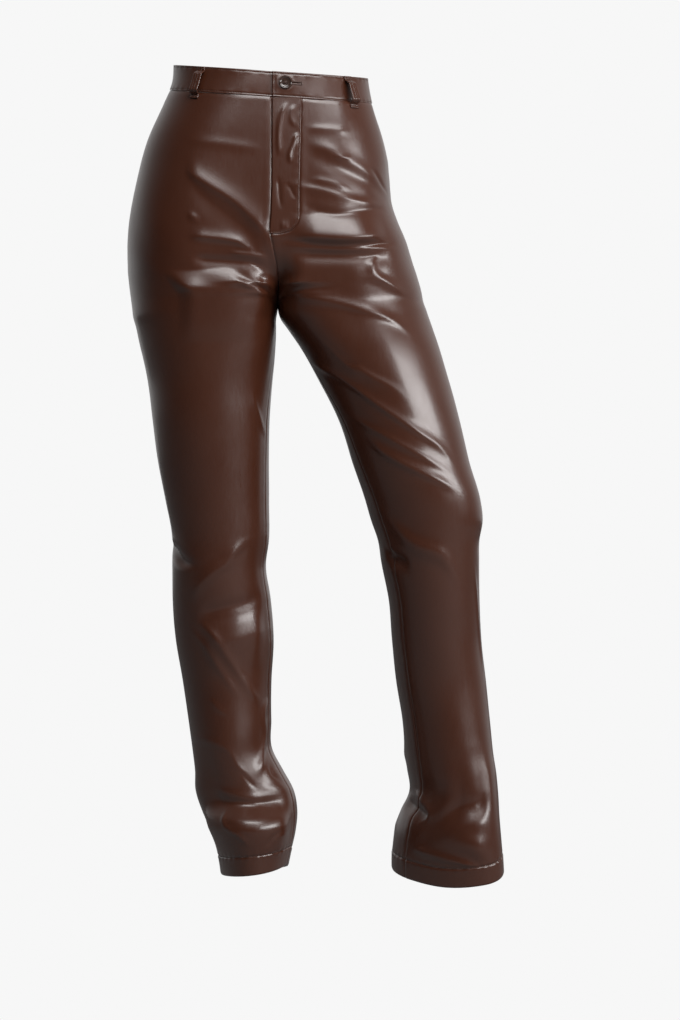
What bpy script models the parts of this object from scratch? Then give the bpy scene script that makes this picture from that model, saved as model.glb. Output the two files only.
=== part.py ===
"""Faux leather trousers, high-waisted and straight-legged, in the pose they are worn in.

Run with: blender --background --python part.py, or from Blender's text editor.

The cloth is four leg panels and a waistband, each a thin closed wall, with the fly, its zip, the
button and five belt loops as pieces of their own. The origin is the middle of the waistband ring,
where a wearer holds the garment. +Z is up, the front faces -Y, and +X is the wearer's left.

The tables and named sizes are in millimetres; a drop is a distance below the origin. "across" is
where a point lies round one half of the garment: 0 is the inseam, or the centre seam above the
crotch, 1 the middle of the front, 2 the side seam, 3 the middle of the back and 4 the inseam or
centre seam again. "down" is how far along the panel it lies: 0 is the waist seam, 1 the level of
the crotch and 2 the hem.
"""

import math
from collections import namedtuple

import bmesh
import bpy
import numpy as np

MM = 0.001

# The cloth and its seams
CLOTH = 1.2
SEAM_GAP = 0.3
HEM_DEPTH = 25.0
LAYERS_AT_HEM = 2

# The waistband, a ring that dips to the front and to the wearer's left
BAND_HEIGHT = 34.0
BAND_CLOTH = 2.4
BAND_PROUD = 0.8
WAIST_DIP_FORWARD = 0.15
WAIST_DIP_LEFT = 0.068
UNDERLAP = 32.0
UNDERLAP_BEND = 34.0
LAYER_CLEARANCE = 0.5

# The crotch
CROTCH_DROP = 295.0
FRONT_RISE_CURVE = 82.0
BACK_RISE_CURVE = 105.0
CREST_AT_WAIST = 0.2
CREST_AT_CROTCH = 0.5
INNER_FULLNESS = 0.12
FULLNESS_DEPTH = 135.0
FRONT_TURN_UNDER = 22.0
BACK_TURN_UNDER = 47.0

# The fly
FLY_WIDTH_TOP = 38.0
FLY_WIDTH_LOW = 33.0
FLY_END_DROP = 211.0
FLY_CORNER = 24.0
FLY_OVERHANG = 1.5
FLY_CLEARANCE = 0.45
ZIP_WIDTH = 26.0
ZIP_THICKNESS = 1.4
ZIP_END_ABOVE_FLY_END = 22.0

# The button and its hole
BUTTON_X = 15.0
BUTTON_ABOVE_BAND_MIDDLE = 2.5
BUTTON_RADIUS = 8.6
BUTTON_THICKNESS = 3.2
BUTTON_RIM = 1.7
BUTTON_DISH = 1.0
SEWING_HOLE_RADIUS = 0.9
SEWING_HOLE_FROM_CENTRE = 2.8
SHANK_RADIUS = 1.2
BUTTONHOLE_LENGTH = 19.0
BUTTONHOLE_WIDTH = 1.6
BUTTONHOLE_EYE_RADIUS = 2.0

# The belt loops
LOOP_WIDTH = 12.0
LOOP_THICKNESS = 1.8
LOOP_STAND_OFF = 7.4
LOOP_BELOW_BAND = 9.0
LOOP_TAB = 5.0
LOOP_SHOULDER = 6.5

# How finely the pieces are divided
ROWS_ABOVE_CROTCH = 20
ROWS_BELOW_CROTCH = 42
FRONT_COLUMNS = 16
BACK_COLUMNS = 10
BAND_COLUMNS = 78
BAND_ROWS = 2
FLY_CORNER_ROWS = 6
LOOP_COLUMNS = 2
BUTTON_STEPS = 28

Section = namedtuple("Section", "drop inner outer front back turn skew")
HemPoint = namedtuple("HemPoint", "across drop")
Fold = namedtuple("Fold", "runs path height upper lower fade")
Loop = namedtuple("Loop", "name side across")
Leather = namedtuple("Leather", "name colour roughness metallic")

DARK_BROWN = Leather("faux_leather", (0.052, 0.022, 0.015, 1.0), 0.32, 0.0)
BUTTON_BROWN = Leather("button_plastic", (0.030, 0.013, 0.010, 1.0), 0.18, 0.0)
ZIP_BROWN = Leather("zip_tape", (0.020, 0.010, 0.008, 1.0), 0.6, 0.0)

# Each half's sections: how far the inner and outer edges lie from the centre plane, how far the
# cloth reaches forward and back, how far the seams are turned outward (degrees) and how far the
# section leans from back-inside to front-outside (degrees).
RIGHT_SECTIONS = (
    Section(-45, 0, 136, 86, 88, 0, 0),
    Section(0, 0, 138, 87, 90, 0, 0),
    Section(26, 0, 149, 90, 95, 0, 0),
    Section(75, 0, 171, 96, 105, 0, 0),
    Section(128, 0, 186, 100, 115, 0, 0),
    Section(182, 0, 196, 102, 122, 0, 0),
    Section(236, 0, 199, 101, 124, 0, 0),
    Section(280, 0, 195, 99, 115, 0, 0),
    Section(295, 0, 193, 98, 109, 0, 0),
    Section(303, 0, 192, 98, 106, 0.5, 0),
    Section(312, 0, 191, 98, 104, 1, 0),
    Section(326, -1, 187, 98, 101, 3, 0),
    Section(352, -1, 181, 97, 96, 7, 0),
    Section(397, 3, 171, 94, 89, 12, 0),
    Section(451, 7, 164, 91, 83, 16, 0),
    Section(505, 8, 157, 85, 80, 18, 0),
    Section(559, 8, 147, 79, 76, 20, 0),
    Section(613, 8, 138, 74, 74, 20, 0),
    Section(645, 12, 138, 72, 76, 20, 0),
    Section(693, 6, 138, 66, 82, 20, 0),
    Section(747, 2, 134, 61, 89, 20, 0),
    Section(801, 5, 125, 58, 92, 20, 0),
    Section(855, 5, 117, 60, 90, 20, 0),
    Section(895, 4, 111, 64, 88, 20, 0),
    Section(922, -10, 108, 68, 88, 20, 0),
    Section(949, -25, 107, 72, 88, 20, 0),
    Section(976, -30, 98, 77, 88, 20, 0),
    Section(1003, -28, 86, 80, 88, 20, 0),
    Section(1030, -22, 78, 81, 88, 20, 0),
    Section(1080, -12, 70, 80, 88, 20, 0),
)
LEFT_SECTIONS = (
    Section(-45, 0, 124, 86, 88, 0, 0),
    Section(0, 0, 125, 87, 90, 0, 0),
    Section(26, 0, 130, 90, 95, 0, 0),
    Section(75, 0, 145, 96, 105, 0, 0),
    Section(105, 0, 152, 98.6, 111, 0, 0),
    Section(128, 0, 154, 100, 115, 0, 0),
    Section(165, 0, 158, 101.7, 120.4, 0, 0),
    Section(182, 0, 164, 102, 122, 0, 0),
    Section(210, 0, 176, 101.9, 124.4, 0, 0),
    Section(236, 0, 184, 101, 124, 0, 0),
    Section(280, 0, 197, 99, 115, 0, 0),
    Section(295, 0, 200, 98, 109, 0, 0),
    Section(303, 1.5, 203, 98, 106, 0.5, 0),
    Section(312, 5, 206, 98.4, 104, 1, 0),
    Section(326, 15, 211, 99.4, 101, 3, 0),
    Section(352, 33, 220, 102, 93, 7, 0),
    Section(397, 58, 233, 104, 80, 14, 0),
    Section(451, 85, 247, 105, 67, 22, 0),
    Section(505, 103, 259, 104, 57, 28, 4),
    Section(559, 121, 274, 102, 50, 33, 8),
    Section(586, 129, 277, 99, 47, 35, 8),
    Section(613, 138, 273, 96, 48, 37, 7),
    Section(639, 142, 273, 92, 49, 38, 6),
    Section(693, 153, 274, 84, 58, 40, 4),
    Section(747, 157, 277, 75, 67, 41, 4),
    Section(801, 163, 283, 69, 71, 42, 6),
    Section(855, 171, 288, 69, 69, 43, 10),
    Section(895, 175, 292, 72, 66, 44, 14),
    Section(922, 178, 296, 76, 64, 44, 18),
    Section(949, 181, 298, 80, 62, 42, 22),
    Section(976, 170, 299, 84, 62, 40, 26),
    Section(1003, 162, 301, 86, 62, 40, 28),
    Section(1030, 158, 303, 86, 62, 40, 30),
    Section(1080, 158, 306, 84, 60, 40, 30),
)
RIGHT_HEM = (
    HemPoint(0, 1046),
    HemPoint(1, 1055),
    HemPoint(2, 1062),
    HemPoint(3, 1066),
    HemPoint(4, 1046),
)
LEFT_HEM = (
    HemPoint(0, 1064),
    HemPoint(0.5, 1070),
    HemPoint(1, 1065),
    HemPoint(2, 1042),
    HemPoint(3, 1048),
    HemPoint(4, 1064),
)
# Where each large fold runs, as (across, drop) points, how far it stands out (or in, below 0), how
# wide it is on the side of lower and of higher drop (or across), and how much of each end fades.
RIGHT_FOLDS = (
    Fold("across", ((0.02, 210), (0.15, 195), (0.38, 170), (0.85, 126)), 5, 15, 12, 0.3),
    Fold("across", ((0.02, 240), (0.16, 234), (0.33, 221), (0.86, 215)), 4, 11, 9, 0.25),
    Fold("across", ((0.0, 256), (0.2, 250), (0.44, 245), (0.78, 242)), -6, 10, 9, 0.25),
    Fold("across", ((0.2, 274), (0.46, 275), (0.7, 278), (1.0, 282)), 5, 15, 12, 0.15),
    Fold("down", ((0.36, 609), (0.61, 643), (1.03, 685), (1.15, 707)), 5, 12, 14, 0.3),
    Fold("down", ((1.12, 714), (0.79, 755), (0.54, 794), (0.21, 838)), 5, 11, 14, 0.3),
    Fold("down", ((1.48, 861), (0.97, 874), (0.7, 915), (0.58, 941)), 4, 11, 11, 0.3),
    Fold("down", ((1.73, 612), (1.51, 628), (1.17, 652)), -5, 11, 11, 0.3),
    Fold("across", ((-0.03, 956), (0.61, 962), (0.99, 961), (1.53, 956)), -9, 11, 10, 0.25),
    Fold("across", ((0.11, 978), (0.9, 982), (1.69, 984)), 4, 10, 15, 0.25),
    Fold("across", ((2.2, 292), (2.9, 318), (3.6, 316)), 4, 13, 12, 0.35),
    Fold("across", ((2.5, 334), (3.1, 348), (3.8, 340)), -5, 12, 12, 0.35),
    Fold("across", ((2.4, 470), (3.0, 498), (3.5, 486)), 3, 14, 12, 0.35),
    Fold("across", ((2.2, 586), (2.9, 602), (3.7, 594)), 4, 12, 12, 0.35),
    Fold("across", ((2.3, 640), (3.0, 628), (3.7, 640)), -6, 13, 13, 0.35),
    Fold("across", ((2.4, 676), (3.1, 664), (3.8, 676)), 4, 12, 12, 0.35),
    Fold("across", ((2.4, 700), (3.1, 712), (3.6, 696)), -4, 12, 12, 0.35),
    Fold("across", ((2.2, 812), (2.9, 846), (3.6, 838)), -4, 14, 13, 0.35),
    Fold("across", ((2.3, 894), (3.0, 882), (3.7, 902)), 4, 13, 13, 0.35),
    Fold("across", ((2.1, 950), (3.0, 960), (3.8, 954)), -6, 12, 12, 0.35),
    Fold("across", ((2.2, 986), (3.0, 996), (3.8, 984)), 5, 13, 12, 0.35),
)
LEFT_FOLDS = (
    Fold("across", ((0.36, 93), (0.68, 102), (1.04, 121), (1.48, 140)), 4, 11, 10, 0.3),
    Fold("across", ((0.29, 169), (0.46, 177), (0.7, 182), (1.07, 178), (1.53, 170)), -3, 10, 10, 0.25),
    Fold("across", ((0.23, 208), (0.73, 208), (1.21, 205)), 4, 15, 10, 0.25),
    Fold("across", ((0.09, 230), (0.46, 231), (0.93, 231), (1.4, 231)), -5, 9, 11, 0.2),
    Fold("across", ((0.21, 281), (0.68, 293), (1.05, 309), (1.41, 346)), 4, 11, 11, 0.25),
    Fold("across", ((0.34, 323), (0.37, 367), (0.63, 401), (0.98, 432)), -3, 13, 13, 0.3),
    Fold("across", ((0.31, 394), (0.66, 446), (1.01, 491), (1.18, 516)), 5, 10, 9, 0.2),
    Fold("across", ((0.16, 454), (0.52, 483), (0.93, 530), (1.08, 543)), 4, 10, 10, 0.25),
    Fold("across", ((0.0, 581), (0.38, 617), (0.78, 638), (0.99, 663)), 3, 12, 14, 0.3),
    Fold("across", ((-0.16, 628), (0.07, 638), (0.3, 643)), -5, 11, 12, 0.4),
    Fold("across", ((0.11, 1025), (0.32, 995), (0.53, 974), (1.18, 962)), -5, 13, 13, 0.3),
    Fold("across", ((-0.35, 963), (0.1, 974), (0.35, 984)), -6, 11, 11, 0.4),
    Fold("across", ((0.13, 1019), (0.41, 1029), (0.77, 1040), (1.07, 1040)), 4, 10, 11, 0.25),
    Fold("across", ((2.2, 296), (2.9, 324), (3.6, 308)), 4, 13, 12, 0.35),
    Fold("across", ((2.4, 340), (3.0, 354), (3.7, 334)), -5, 12, 12, 0.35),
    Fold("across", ((2.3, 480), (2.9, 456), (3.5, 436)), 3, 13, 13, 0.35),
    Fold("across", ((2.2, 606), (2.9, 588), (3.6, 566)), 4, 12, 12, 0.35),
    Fold("across", ((2.3, 668), (3.0, 640), (3.6, 622)), -5, 13, 13, 0.35),
    Fold("across", ((2.3, 700), (2.9, 676), (3.5, 656)), 4, 12, 12, 0.35),
    Fold("across", ((2.2, 744), (2.9, 722), (3.6, 700)), -4, 12, 12, 0.35),
    Fold("across", ((2.2, 838), (2.9, 866), (3.6, 848)), -4, 14, 13, 0.35),
    Fold("across", ((2.3, 904), (3.0, 912), (3.7, 894)), 4, 13, 13, 0.35),
    Fold("across", ((2.1, 974), (3.0, 960), (3.7, 964)), -5, 12, 12, 0.35),
    Fold("across", ((2.2, 1006), (3.0, 996), (3.7, 1000)), 4, 12, 12, 0.35),
)
LOOPS = (
    Loop("belt_loop_front_right", -1, 1.01),
    Loop("belt_loop_front_left", 1, 1.14),
    Loop("belt_loop_back_right", -1, 3.0),
    Loop("belt_loop_back_left", 1, 3.0),
    Loop("belt_loop_back_centre", 1, 4.0),
)


def smooth(knots, values, x):
    """A smooth curve through the values at the knots, read at x."""
    knots = np.asarray(knots, float)
    values = np.asarray(values, float)
    slopes = np.gradient(values, knots)
    x = np.clip(x, knots[0], knots[-1])
    i = np.clip(np.searchsorted(knots, x) - 1, 0, len(knots) - 2)
    step = knots[i + 1] - knots[i]
    t = (x - knots[i]) / step
    return (
        (1 + 2 * t) * (1 - t) ** 2 * values[i]
        + t * (1 - t) ** 2 * step * slopes[i]
        + t * t * (3 - 2 * t) * values[i + 1]
        + t * t * (t - 1) * step * slopes[i + 1]
    )


def ease(t):
    """A smooth step from 0 to 1."""
    t = np.clip(t, 0.0, 1.0)
    return t * t * (3 - 2 * t)


def quarter_length(a, b):
    """The length of a quarter of an ellipse with half-axes a and b."""
    return math.pi / 4 * (3 * (a + b) - np.sqrt((3 * a + b) * (a + 3 * b)))


def unit(vectors):
    return vectors / np.linalg.norm(vectors, axis=-1, keepdims=True)


class Half:
    """One half of the trousers: half a hip above the crotch and a leg tube below it."""

    def __init__(self, side, sections, hem, folds):
        self.side = side
        self.columns = {name: [getattr(s, name) for s in sections] for name in Section._fields}
        self.hem = hem
        self.folds = folds
        self.rise = {True: self.rise_drops(True), False: self.rise_drops(False)}

    def size(self, name, drop):
        return smooth(self.columns["drop"], self.columns[name], drop)

    def middle(self, drop):
        """How far behind the origin the middle of the section lies."""
        return (self.size("back", drop) - self.size("front", drop)) / 2

    def under(self, drop, front):
        """How far the centre seam has turned under the body: 0 above its curve, 1 at the crotch."""
        curve = np.where(front, FRONT_RISE_CURVE, BACK_RISE_CURVE)
        share = np.clip((CROTCH_DROP - drop) / curve, 0.0, 1.0)
        return 1 - np.sqrt(np.clip(1 - (1 - share) ** 2, 0.0, 1.0))

    def rise_drops(self, front):
        """Drops at even lengths along the centre seam, from the waist to the crotch."""
        drop = np.linspace(0.0, 1.0, 400) ** 0.5 * CROTCH_DROP
        reach = self.size("front" if front else "back", drop)
        depth = reach - self.under(drop, front) * (reach - abs(self.middle(drop)))
        length = np.concatenate([[0.0], np.cumsum(np.hypot(np.diff(drop), np.diff(depth)))])
        return length, drop

    def hip_section(self, drop, across):
        """Points of the half section above the crotch, measured from the centre plane."""
        front = across <= 2
        from_centre = np.where(front, across, 4 - across)
        middle = self.middle(drop)
        outer = self.size("outer", drop)
        lower = ease(drop / CROTCH_DROP) ** 2
        crest = outer * (CREST_AT_WAIST + (CREST_AT_CROTCH - CREST_AT_WAIST) * lower)
        reach = (self.size("front", drop) + self.size("back", drop)) / 2
        under = self.under(drop, front)
        length_in = quarter_length(crest, reach * under)
        length_out = quarter_length(outer - crest, reach)
        split = 2 * length_in / (length_in + length_out)
        inner_angle = np.minimum(from_centre / split, 1) * math.pi / 2
        outer_angle = np.clip((from_centre - split) / (2 - split), 0, 1) * math.pi / 2
        bend = ease(under * 1.6)
        full = 1 + INNER_FULLNESS * under * np.sin(2 * inner_angle) ** 2
        x_inner = crest * (
            bend * (1 - full * np.cos(inner_angle)) + (1 - bend) * inner_angle / (math.pi / 2)
        )
        lobe = bend * full * np.sin(inner_angle) + (1 - bend) * (1 - np.cos(2 * inner_angle)) / 2
        turn_under = np.where(front, FRONT_TURN_UNDER, BACK_TURN_UNDER)
        soft_under = ease(1 - (CROTCH_DROP - drop) / turn_under)
        off_centre = ease(inner_angle / (math.pi / 4))
        under = under + (soft_under - under) * off_centre
        y_inner = reach * ((1 - under) + under * lobe)
        x_outer = crest + (outer - crest) * np.sin(outer_angle)
        y_outer = reach * np.cos(outer_angle)
        inside = from_centre < split
        x = np.where(inside, x_inner, x_outer)
        y = np.where(inside, y_inner, y_outer)
        return x, middle + np.where(front, -y, y)

    def leg_section(self, drop, across):
        """Points of the leg's closed section, measured from the centre plane."""
        inner = self.size("inner", drop)
        outer = self.size("outer", drop)
        reach = (self.size("front", drop) + self.size("back", drop)) / 2
        turn = np.radians(self.size("turn", drop))
        skew = np.radians(self.size("skew", drop))
        angle = across * math.pi / 2 + turn
        fullness = INNER_FULLNESS * (1 - ease((drop - CROTCH_DROP) / FULLNESS_DEPTH))
        full = 1 + fullness * np.sin(2 * angle) ** 2 * (np.cos(angle) > 0)
        x = (inner + outer) / 2 - (outer - inner) / 2 * full * np.cos(angle)
        y = self.middle(drop) - reach * full * np.sin(angle - skew)
        return x, y

    def section(self, drop, across):
        drop, across = np.broadcast_arrays(drop, across)
        hip = self.hip_section(drop, across)
        leg = self.leg_section(drop, across)
        x, y = (np.where(drop < CROTCH_DROP, h, g) for h, g in zip(hip, leg))
        return np.stack([self.side * (x + SEAM_GAP / 2), y, -drop], axis=-1)

    def across_length(self, drop):
        """Millimetres of cloth to each unit of across."""
        reach = (self.size("front", drop) + self.size("back", drop)) / 2
        width = (self.size("outer", drop) - self.size("inner", drop)) / 2
        round_leg = math.pi / 4 * (width + reach)
        half_hip = 0.41 * (self.size("outer", drop) + reach)
        below = ease((drop - CROTCH_DROP + FRONT_RISE_CURVE) / FRONT_RISE_CURVE)
        return half_hip + (round_leg - half_hip) * below

    def waist_drop(self, across, below_middle):
        """The drop of the line that runs round the waist, below_middle under the band's middle."""
        x, y, _ = np.moveaxis(self.section(np.full_like(across, below_middle, float), across), -1, 0)
        return below_middle + WAIST_DIP_LEFT * x - WAIST_DIP_FORWARD * y

    def hem_drop(self, across):
        knots = [p.across for p in self.hem]
        drops = [p.drop for p in self.hem]
        return smooth(knots, drops, across)

    def drop(self, down, across):
        """The drop of a point of a panel. Near the centre seam the rows follow the rise."""
        down, across = np.broadcast_arrays(np.asarray(down, float), np.asarray(across, float))
        waist = self.waist_drop(across, BAND_HEIGHT / 2 + SEAM_GAP)
        upper = np.clip(down, 0, 1)
        lower = np.clip(down - 1, 0, 1)
        straight = waist + (CROTCH_DROP - waist) * upper
        seam = np.empty_like(straight)
        for front in (True, False):
            length, drops = self.rise[front]
            start = np.interp(waist, drops, length)
            along = start + (length[-1] - start) * upper
            seam = np.where((across <= 2) == front, np.interp(along, length, drops), seam)
        from_centre = np.minimum(across, 4 - across)
        hip = seam + (straight - seam) * ease(from_centre / 0.9)
        return hip + (self.hem_drop(across) - CROTCH_DROP) * lower

    def relief(self, drop, across):
        """How far the folds lift the cloth outward."""
        lift = np.zeros_like(drop)
        length = self.across_length(drop)
        for fold in self.folds:
            lift += fold_height(fold, drop, across, length)
            lift += fold_height(fold, drop, across - 4, length) * (drop > CROTCH_DROP)
        from_seam = np.minimum(across, 4 - across) * length
        below = ease((drop - CROTCH_DROP) / 30.0)
        return lift * (below + (1 - below) * ease(from_seam / 14.0))

    def smooth_normal(self, drop, across):
        """The outward direction of the section, without its folds."""
        step = 0.004
        along = self.section(drop, across + step) - self.section(drop, across - step)
        outward = np.stack([-along[..., 1], along[..., 0], np.zeros_like(drop)], axis=-1)
        return unit(outward) * -self.side

    def at_drop(self, drop, across):
        """A point of the outer face at a drop, folds and all."""
        drop, across = np.broadcast_arrays(np.asarray(drop, float), np.asarray(across, float))
        lift = self.relief(drop, across)[..., None]
        return self.section(drop, across) + self.smooth_normal(drop, across) * lift

    def normal(self, drop, across):
        """The outward direction of the folded cloth."""
        step_across = 0.01
        step_drop = 1.0
        low = np.maximum(drop - step_drop, -40.0)
        along = self.at_drop(drop, across + step_across) - self.at_drop(drop, across - step_across)
        fall = self.at_drop(drop + step_drop, across) - self.at_drop(low, across)
        return unit(np.cross(along, fall)) * -self.side


def fold_height(fold, drop, across, length):
    """The height of one fold over the points, as a soft ridge along a smooth path."""
    first = [point[0] for point in fold.path]
    second = [point[1] for point in fold.path]
    if fold.runs == "across":
        along, off, middle = across, drop, smooth(first, second, across)
        slope = (smooth(first, second, across + 0.02) - middle) / (0.02 * length)
    else:
        along, off = drop, across * length
        middle = smooth(second, first, drop) * length
        slope = (smooth(second, first, drop + 2.0) * length - middle) / 2.0
    knots = first if fold.runs == "across" else second
    away = (off - middle) / np.sqrt(1 + slope * slope)
    width = np.where(away < 0, fold.upper, fold.lower)
    share = (along - knots[0]) / (knots[-1] - knots[0])
    ends = ease(share / fold.fade) * ease((1 - share) / fold.fade)
    return fold.height * np.exp(-((away / width) ** 2)) * ends


def material(leather):
    made = bpy.data.materials.get(leather.name)
    if made is None:
        made = bpy.data.materials.new(leather.name)
        made.use_nodes = True
        shader = made.node_tree.nodes["Principled BSDF"]
        shader.inputs["Base Color"].default_value = leather.colour
        shader.inputs["Roughness"].default_value = leather.roughness
        shader.inputs["Metallic"].default_value = leather.metallic
        made.diffuse_color = leather.colour
    return made


def finish_object(name, bm, leather):
    """Turns the bmesh into a named, smooth-shaded object with its material."""
    bmesh.ops.recalc_face_normals(bm, faces=bm.faces)
    mesh = bpy.data.meshes.new(name)
    bm.to_mesh(mesh)
    bm.free()
    mesh.materials.append(material(leather))
    mesh.shade_smooth()
    mesh.set_sharp_from_angle(angle=math.radians(50))
    obj = bpy.data.objects.new(name, mesh)
    bpy.context.scene.collection.objects.link(obj)
    return obj


def wall(name, outer, inner, leather=DARK_BROWN):
    """A closed wall between two grids of points, in millimetres, with the same rows and columns."""
    bm = bmesh.new()
    rows, columns = outer.shape[:2]
    faces = [
        [[bm.verts.new(point * MM) for point in row] for row in grid] for grid in (outer, inner)
    ]
    for face in faces:
        for i in range(rows - 1):
            for j in range(columns - 1):
                bm.faces.new((face[i][j], face[i][j + 1], face[i + 1][j + 1], face[i + 1][j]))
    border = (
        [(0, j) for j in range(columns)]
        + [(i, columns - 1) for i in range(1, rows)]
        + [(rows - 1, j) for j in range(columns - 2, -1, -1)]
        + [(i, 0) for i in range(rows - 2, 0, -1)]
    )
    for (i, j), (k, m) in zip(border, border[1:] + border[:1]):
        bm.faces.new((faces[0][i][j], faces[0][k][m], faces[1][k][m], faces[1][i][j]))
    return finish_object(name, bm, leather)


class Panel:
    """One leg panel: a grid of points from the waist seam to the hem, with their outward normals."""

    def __init__(self, half, front):
        edge = SEAM_GAP / 2 / 100.0
        start, end, columns = (0.0, 2.0, FRONT_COLUMNS) if front else (2.0, 4.0, BACK_COLUMNS)
        across = np.linspace(start + edge, end - edge, columns + 1)[None, :]
        upper = np.linspace(0.0, 1.0, ROWS_ABOVE_CROTCH + 1)
        lower = np.linspace(1.0, 2.0, ROWS_BELOW_CROTCH + 1)[1:]
        down = np.concatenate([upper, lower])[:, None]
        self.drop = half.drop(down, across)
        self.across = np.broadcast_to(across, self.drop.shape)
        self.hem_drop = half.hem_drop(self.across)
        self.points = half.at_drop(self.drop, self.across)
        self.normals = half.normal(self.drop, self.across)

    def build(self, name):
        """The panel's wall, doubled where the hem is turned up."""
        layers = np.where(self.hem_drop - self.drop < HEM_DEPTH, LAYERS_AT_HEM, 1)
        inner = self.points - self.normals * (CLOTH * layers)[..., None]
        return wall(name, self.points, inner)

    def column(self, across):
        """The grid column, with its fraction, at a place across."""
        first, last = self.across[0, 0], self.across[0, -1]
        return (across - first) / (last - first) * (self.across.shape[1] - 1)

    def row(self, drop):
        """The grid row, with its fraction, at a drop beside the centre seam."""
        return np.interp(drop, self.drop[:, 0], np.arange(self.drop.shape[0]))

    def spot(self, row, column, above):
        """Points that lie a height above the panel's own facets, or under them below 0."""
        row, column = np.broadcast_arrays(np.asarray(row, float), np.asarray(column, float))
        i = np.clip(np.floor(row).astype(int), 0, self.drop.shape[0] - 2)
        j = np.clip(np.floor(column).astype(int), 0, self.drop.shape[1] - 2)
        down, side = (row - i)[..., None], (column - j)[..., None]

        def blend(grid):
            upper = grid[i, j] * (1 - side) + grid[i, j + 1] * side
            lower = grid[i + 1, j] * (1 - side) + grid[i + 1, j + 1] * side
            return upper * (1 - down) + lower * down

        return blend(self.points) + unit(blend(self.normals)) * above


def band_path(right, left):
    """The waistband's run: half, across and how deep the band's outer face lies, at each column."""
    quarter = left.across_length(0.0)
    overlap_end = -FLY_OVERHANG / quarter
    lap = UNDERLAP / quarter
    bend = UNDERLAP_BEND / quarter
    total = 8.0 + lap
    stops = []
    for position in np.linspace(overlap_end, total, BAND_COLUMNS + 1):
        if position <= 4.0:
            stops.append((left, position, -BAND_PROUD))
        elif position <= 8.0:
            to_centre = 8.0 - position
            tuck = ease(1 - to_centre / bend)
            stops.append((right, to_centre, -BAND_PROUD + tuck * (BAND_CLOTH + LAYER_CLEARANCE)))
        else:
            stops.append((left, position - 8.0, -BAND_PROUD + BAND_CLOTH + LAYER_CLEARANCE))
    return stops


def band_column(half, across, depth):
    """Outer and inner points of the band at one place, from its top edge to its bottom edge."""
    heights = np.linspace(-BAND_HEIGHT / 2, BAND_HEIGHT / 2, BAND_ROWS + 1)
    place = np.full_like(heights, across)
    drop = np.array([half.waist_drop(place[:1], h)[0] for h in heights])
    outward = half.smooth_normal(drop, place)
    middle = half.section(drop, place)
    if across > 3.98 or abs(across) < 0.02:
        middle[:, 0] -= half.side * SEAM_GAP / 2
    return middle - outward * depth, middle - outward * (depth + BAND_CLOTH)


def waistband(right, left):
    """The band: one strip whose right end tucks under its left end at the centre front."""
    columns = [band_column(*stop) for stop in band_path(right, left)]
    outer = np.stack([c[0] for c in columns], axis=1)
    inner = np.stack([c[1] for c in columns], axis=1)
    return wall("waistband", outer, inner)


def cut(obj, cutters):
    """Takes the cutters' shapes out of an object, then removes the cutters."""
    for cutter in cutters:
        modifier = obj.modifiers.new("cut", "BOOLEAN")
        modifier.operation = "DIFFERENCE"
        modifier.solver = "EXACT"
        modifier.object = cutter
    bpy.context.view_layer.update()
    evaluated = obj.evaluated_get(bpy.context.evaluated_depsgraph_get())
    mesh = bpy.data.meshes.new_from_object(evaluated)
    obj.modifiers.clear()
    old = obj.data
    obj.data = mesh
    bpy.data.meshes.remove(old)
    mesh.name = obj.name
    for cutter in cutters:
        bpy.data.objects.remove(cutter)


class Place:
    """A flat spot on the waistband: x along it to the wearer's left, y upward, z outward."""

    def __init__(self, origin, outward):
        self.z = unit(np.asarray(outward, float))
        self.x = unit(np.cross(np.array([0.0, 0.0, 1.0]), self.z))
        self.y = np.cross(self.z, self.x)
        self.origin = np.asarray(origin, float)

    def point(self, x, y, z):
        return (self.origin + self.x * x + self.y * y + self.z * z) * MM


def prism(name, place, outline, low, high, leather=BUTTON_BROWN):
    """A closed prism over an outline of (x, y) pairs, from height low to high."""
    bm = bmesh.new()
    bottom, top = [[bm.verts.new(place.point(x, y, z)) for x, y in outline] for z in (low, high)]
    for i in range(len(outline)):
        k = (i + 1) % len(outline)
        bm.faces.new((bottom[i], bottom[k], top[k], top[i]))
    bm.faces.new(bottom[::-1])
    bm.faces.new(top)
    return finish_object(name, bm, leather)


def circle(x, y, radius, steps):
    turns = [2 * math.pi * (i + 0.5) / steps for i in range(steps)]
    return [(x + radius * math.cos(t), y + radius * math.sin(t)) for t in turns]


def turned(name, place, profile, steps, leather):
    """A solid turned about the place's z axis from (radius, height) pairs, closed at both ends."""
    bm = bmesh.new()
    rings = []
    for radius, height in profile:
        outline = circle(0, 0, radius, steps)
        rings.append([bm.verts.new(place.point(x, y, height)) for x, y in outline])
    for low, high in zip(rings, rings[1:]):
        for i in range(steps):
            k = (i + 1) % steps
            bm.faces.new((low[i], low[k], high[k], high[i]))
    bm.faces.new(rings[0][::-1])
    bm.faces.new(rings[-1])
    return finish_object(name, bm, leather)


def button_place(left):
    """The spot on the band's outer face where the button sits."""
    across = np.array([BUTTON_X / left.across_length(0.0)])
    drop = left.waist_drop(across, -BUTTON_ABOVE_BAND_MIDDLE)
    outward = left.smooth_normal(drop, across)[0]
    face = left.section(drop, across)[0] + outward * BAND_PROUD
    return Place(face, left.normal(drop, across)[0])


def cut_buttonhole(band, place):
    """Cuts the keyhole through the band's outer layer and not through the end tucked under it."""
    deep = -(BAND_CLOTH + LAYER_CLEARANCE / 2)
    half = BUTTONHOLE_WIDTH / 2
    slot = [(0, -half), (BUTTONHOLE_LENGTH, -half), (BUTTONHOLE_LENGTH, half), (0, half)]
    eye = circle(0, 0, BUTTONHOLE_EYE_RADIUS, 14)
    cut(band, [prism("slot", place, slot, deep, 3.0), prism("eye", place, eye, deep, 3.0)])


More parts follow.
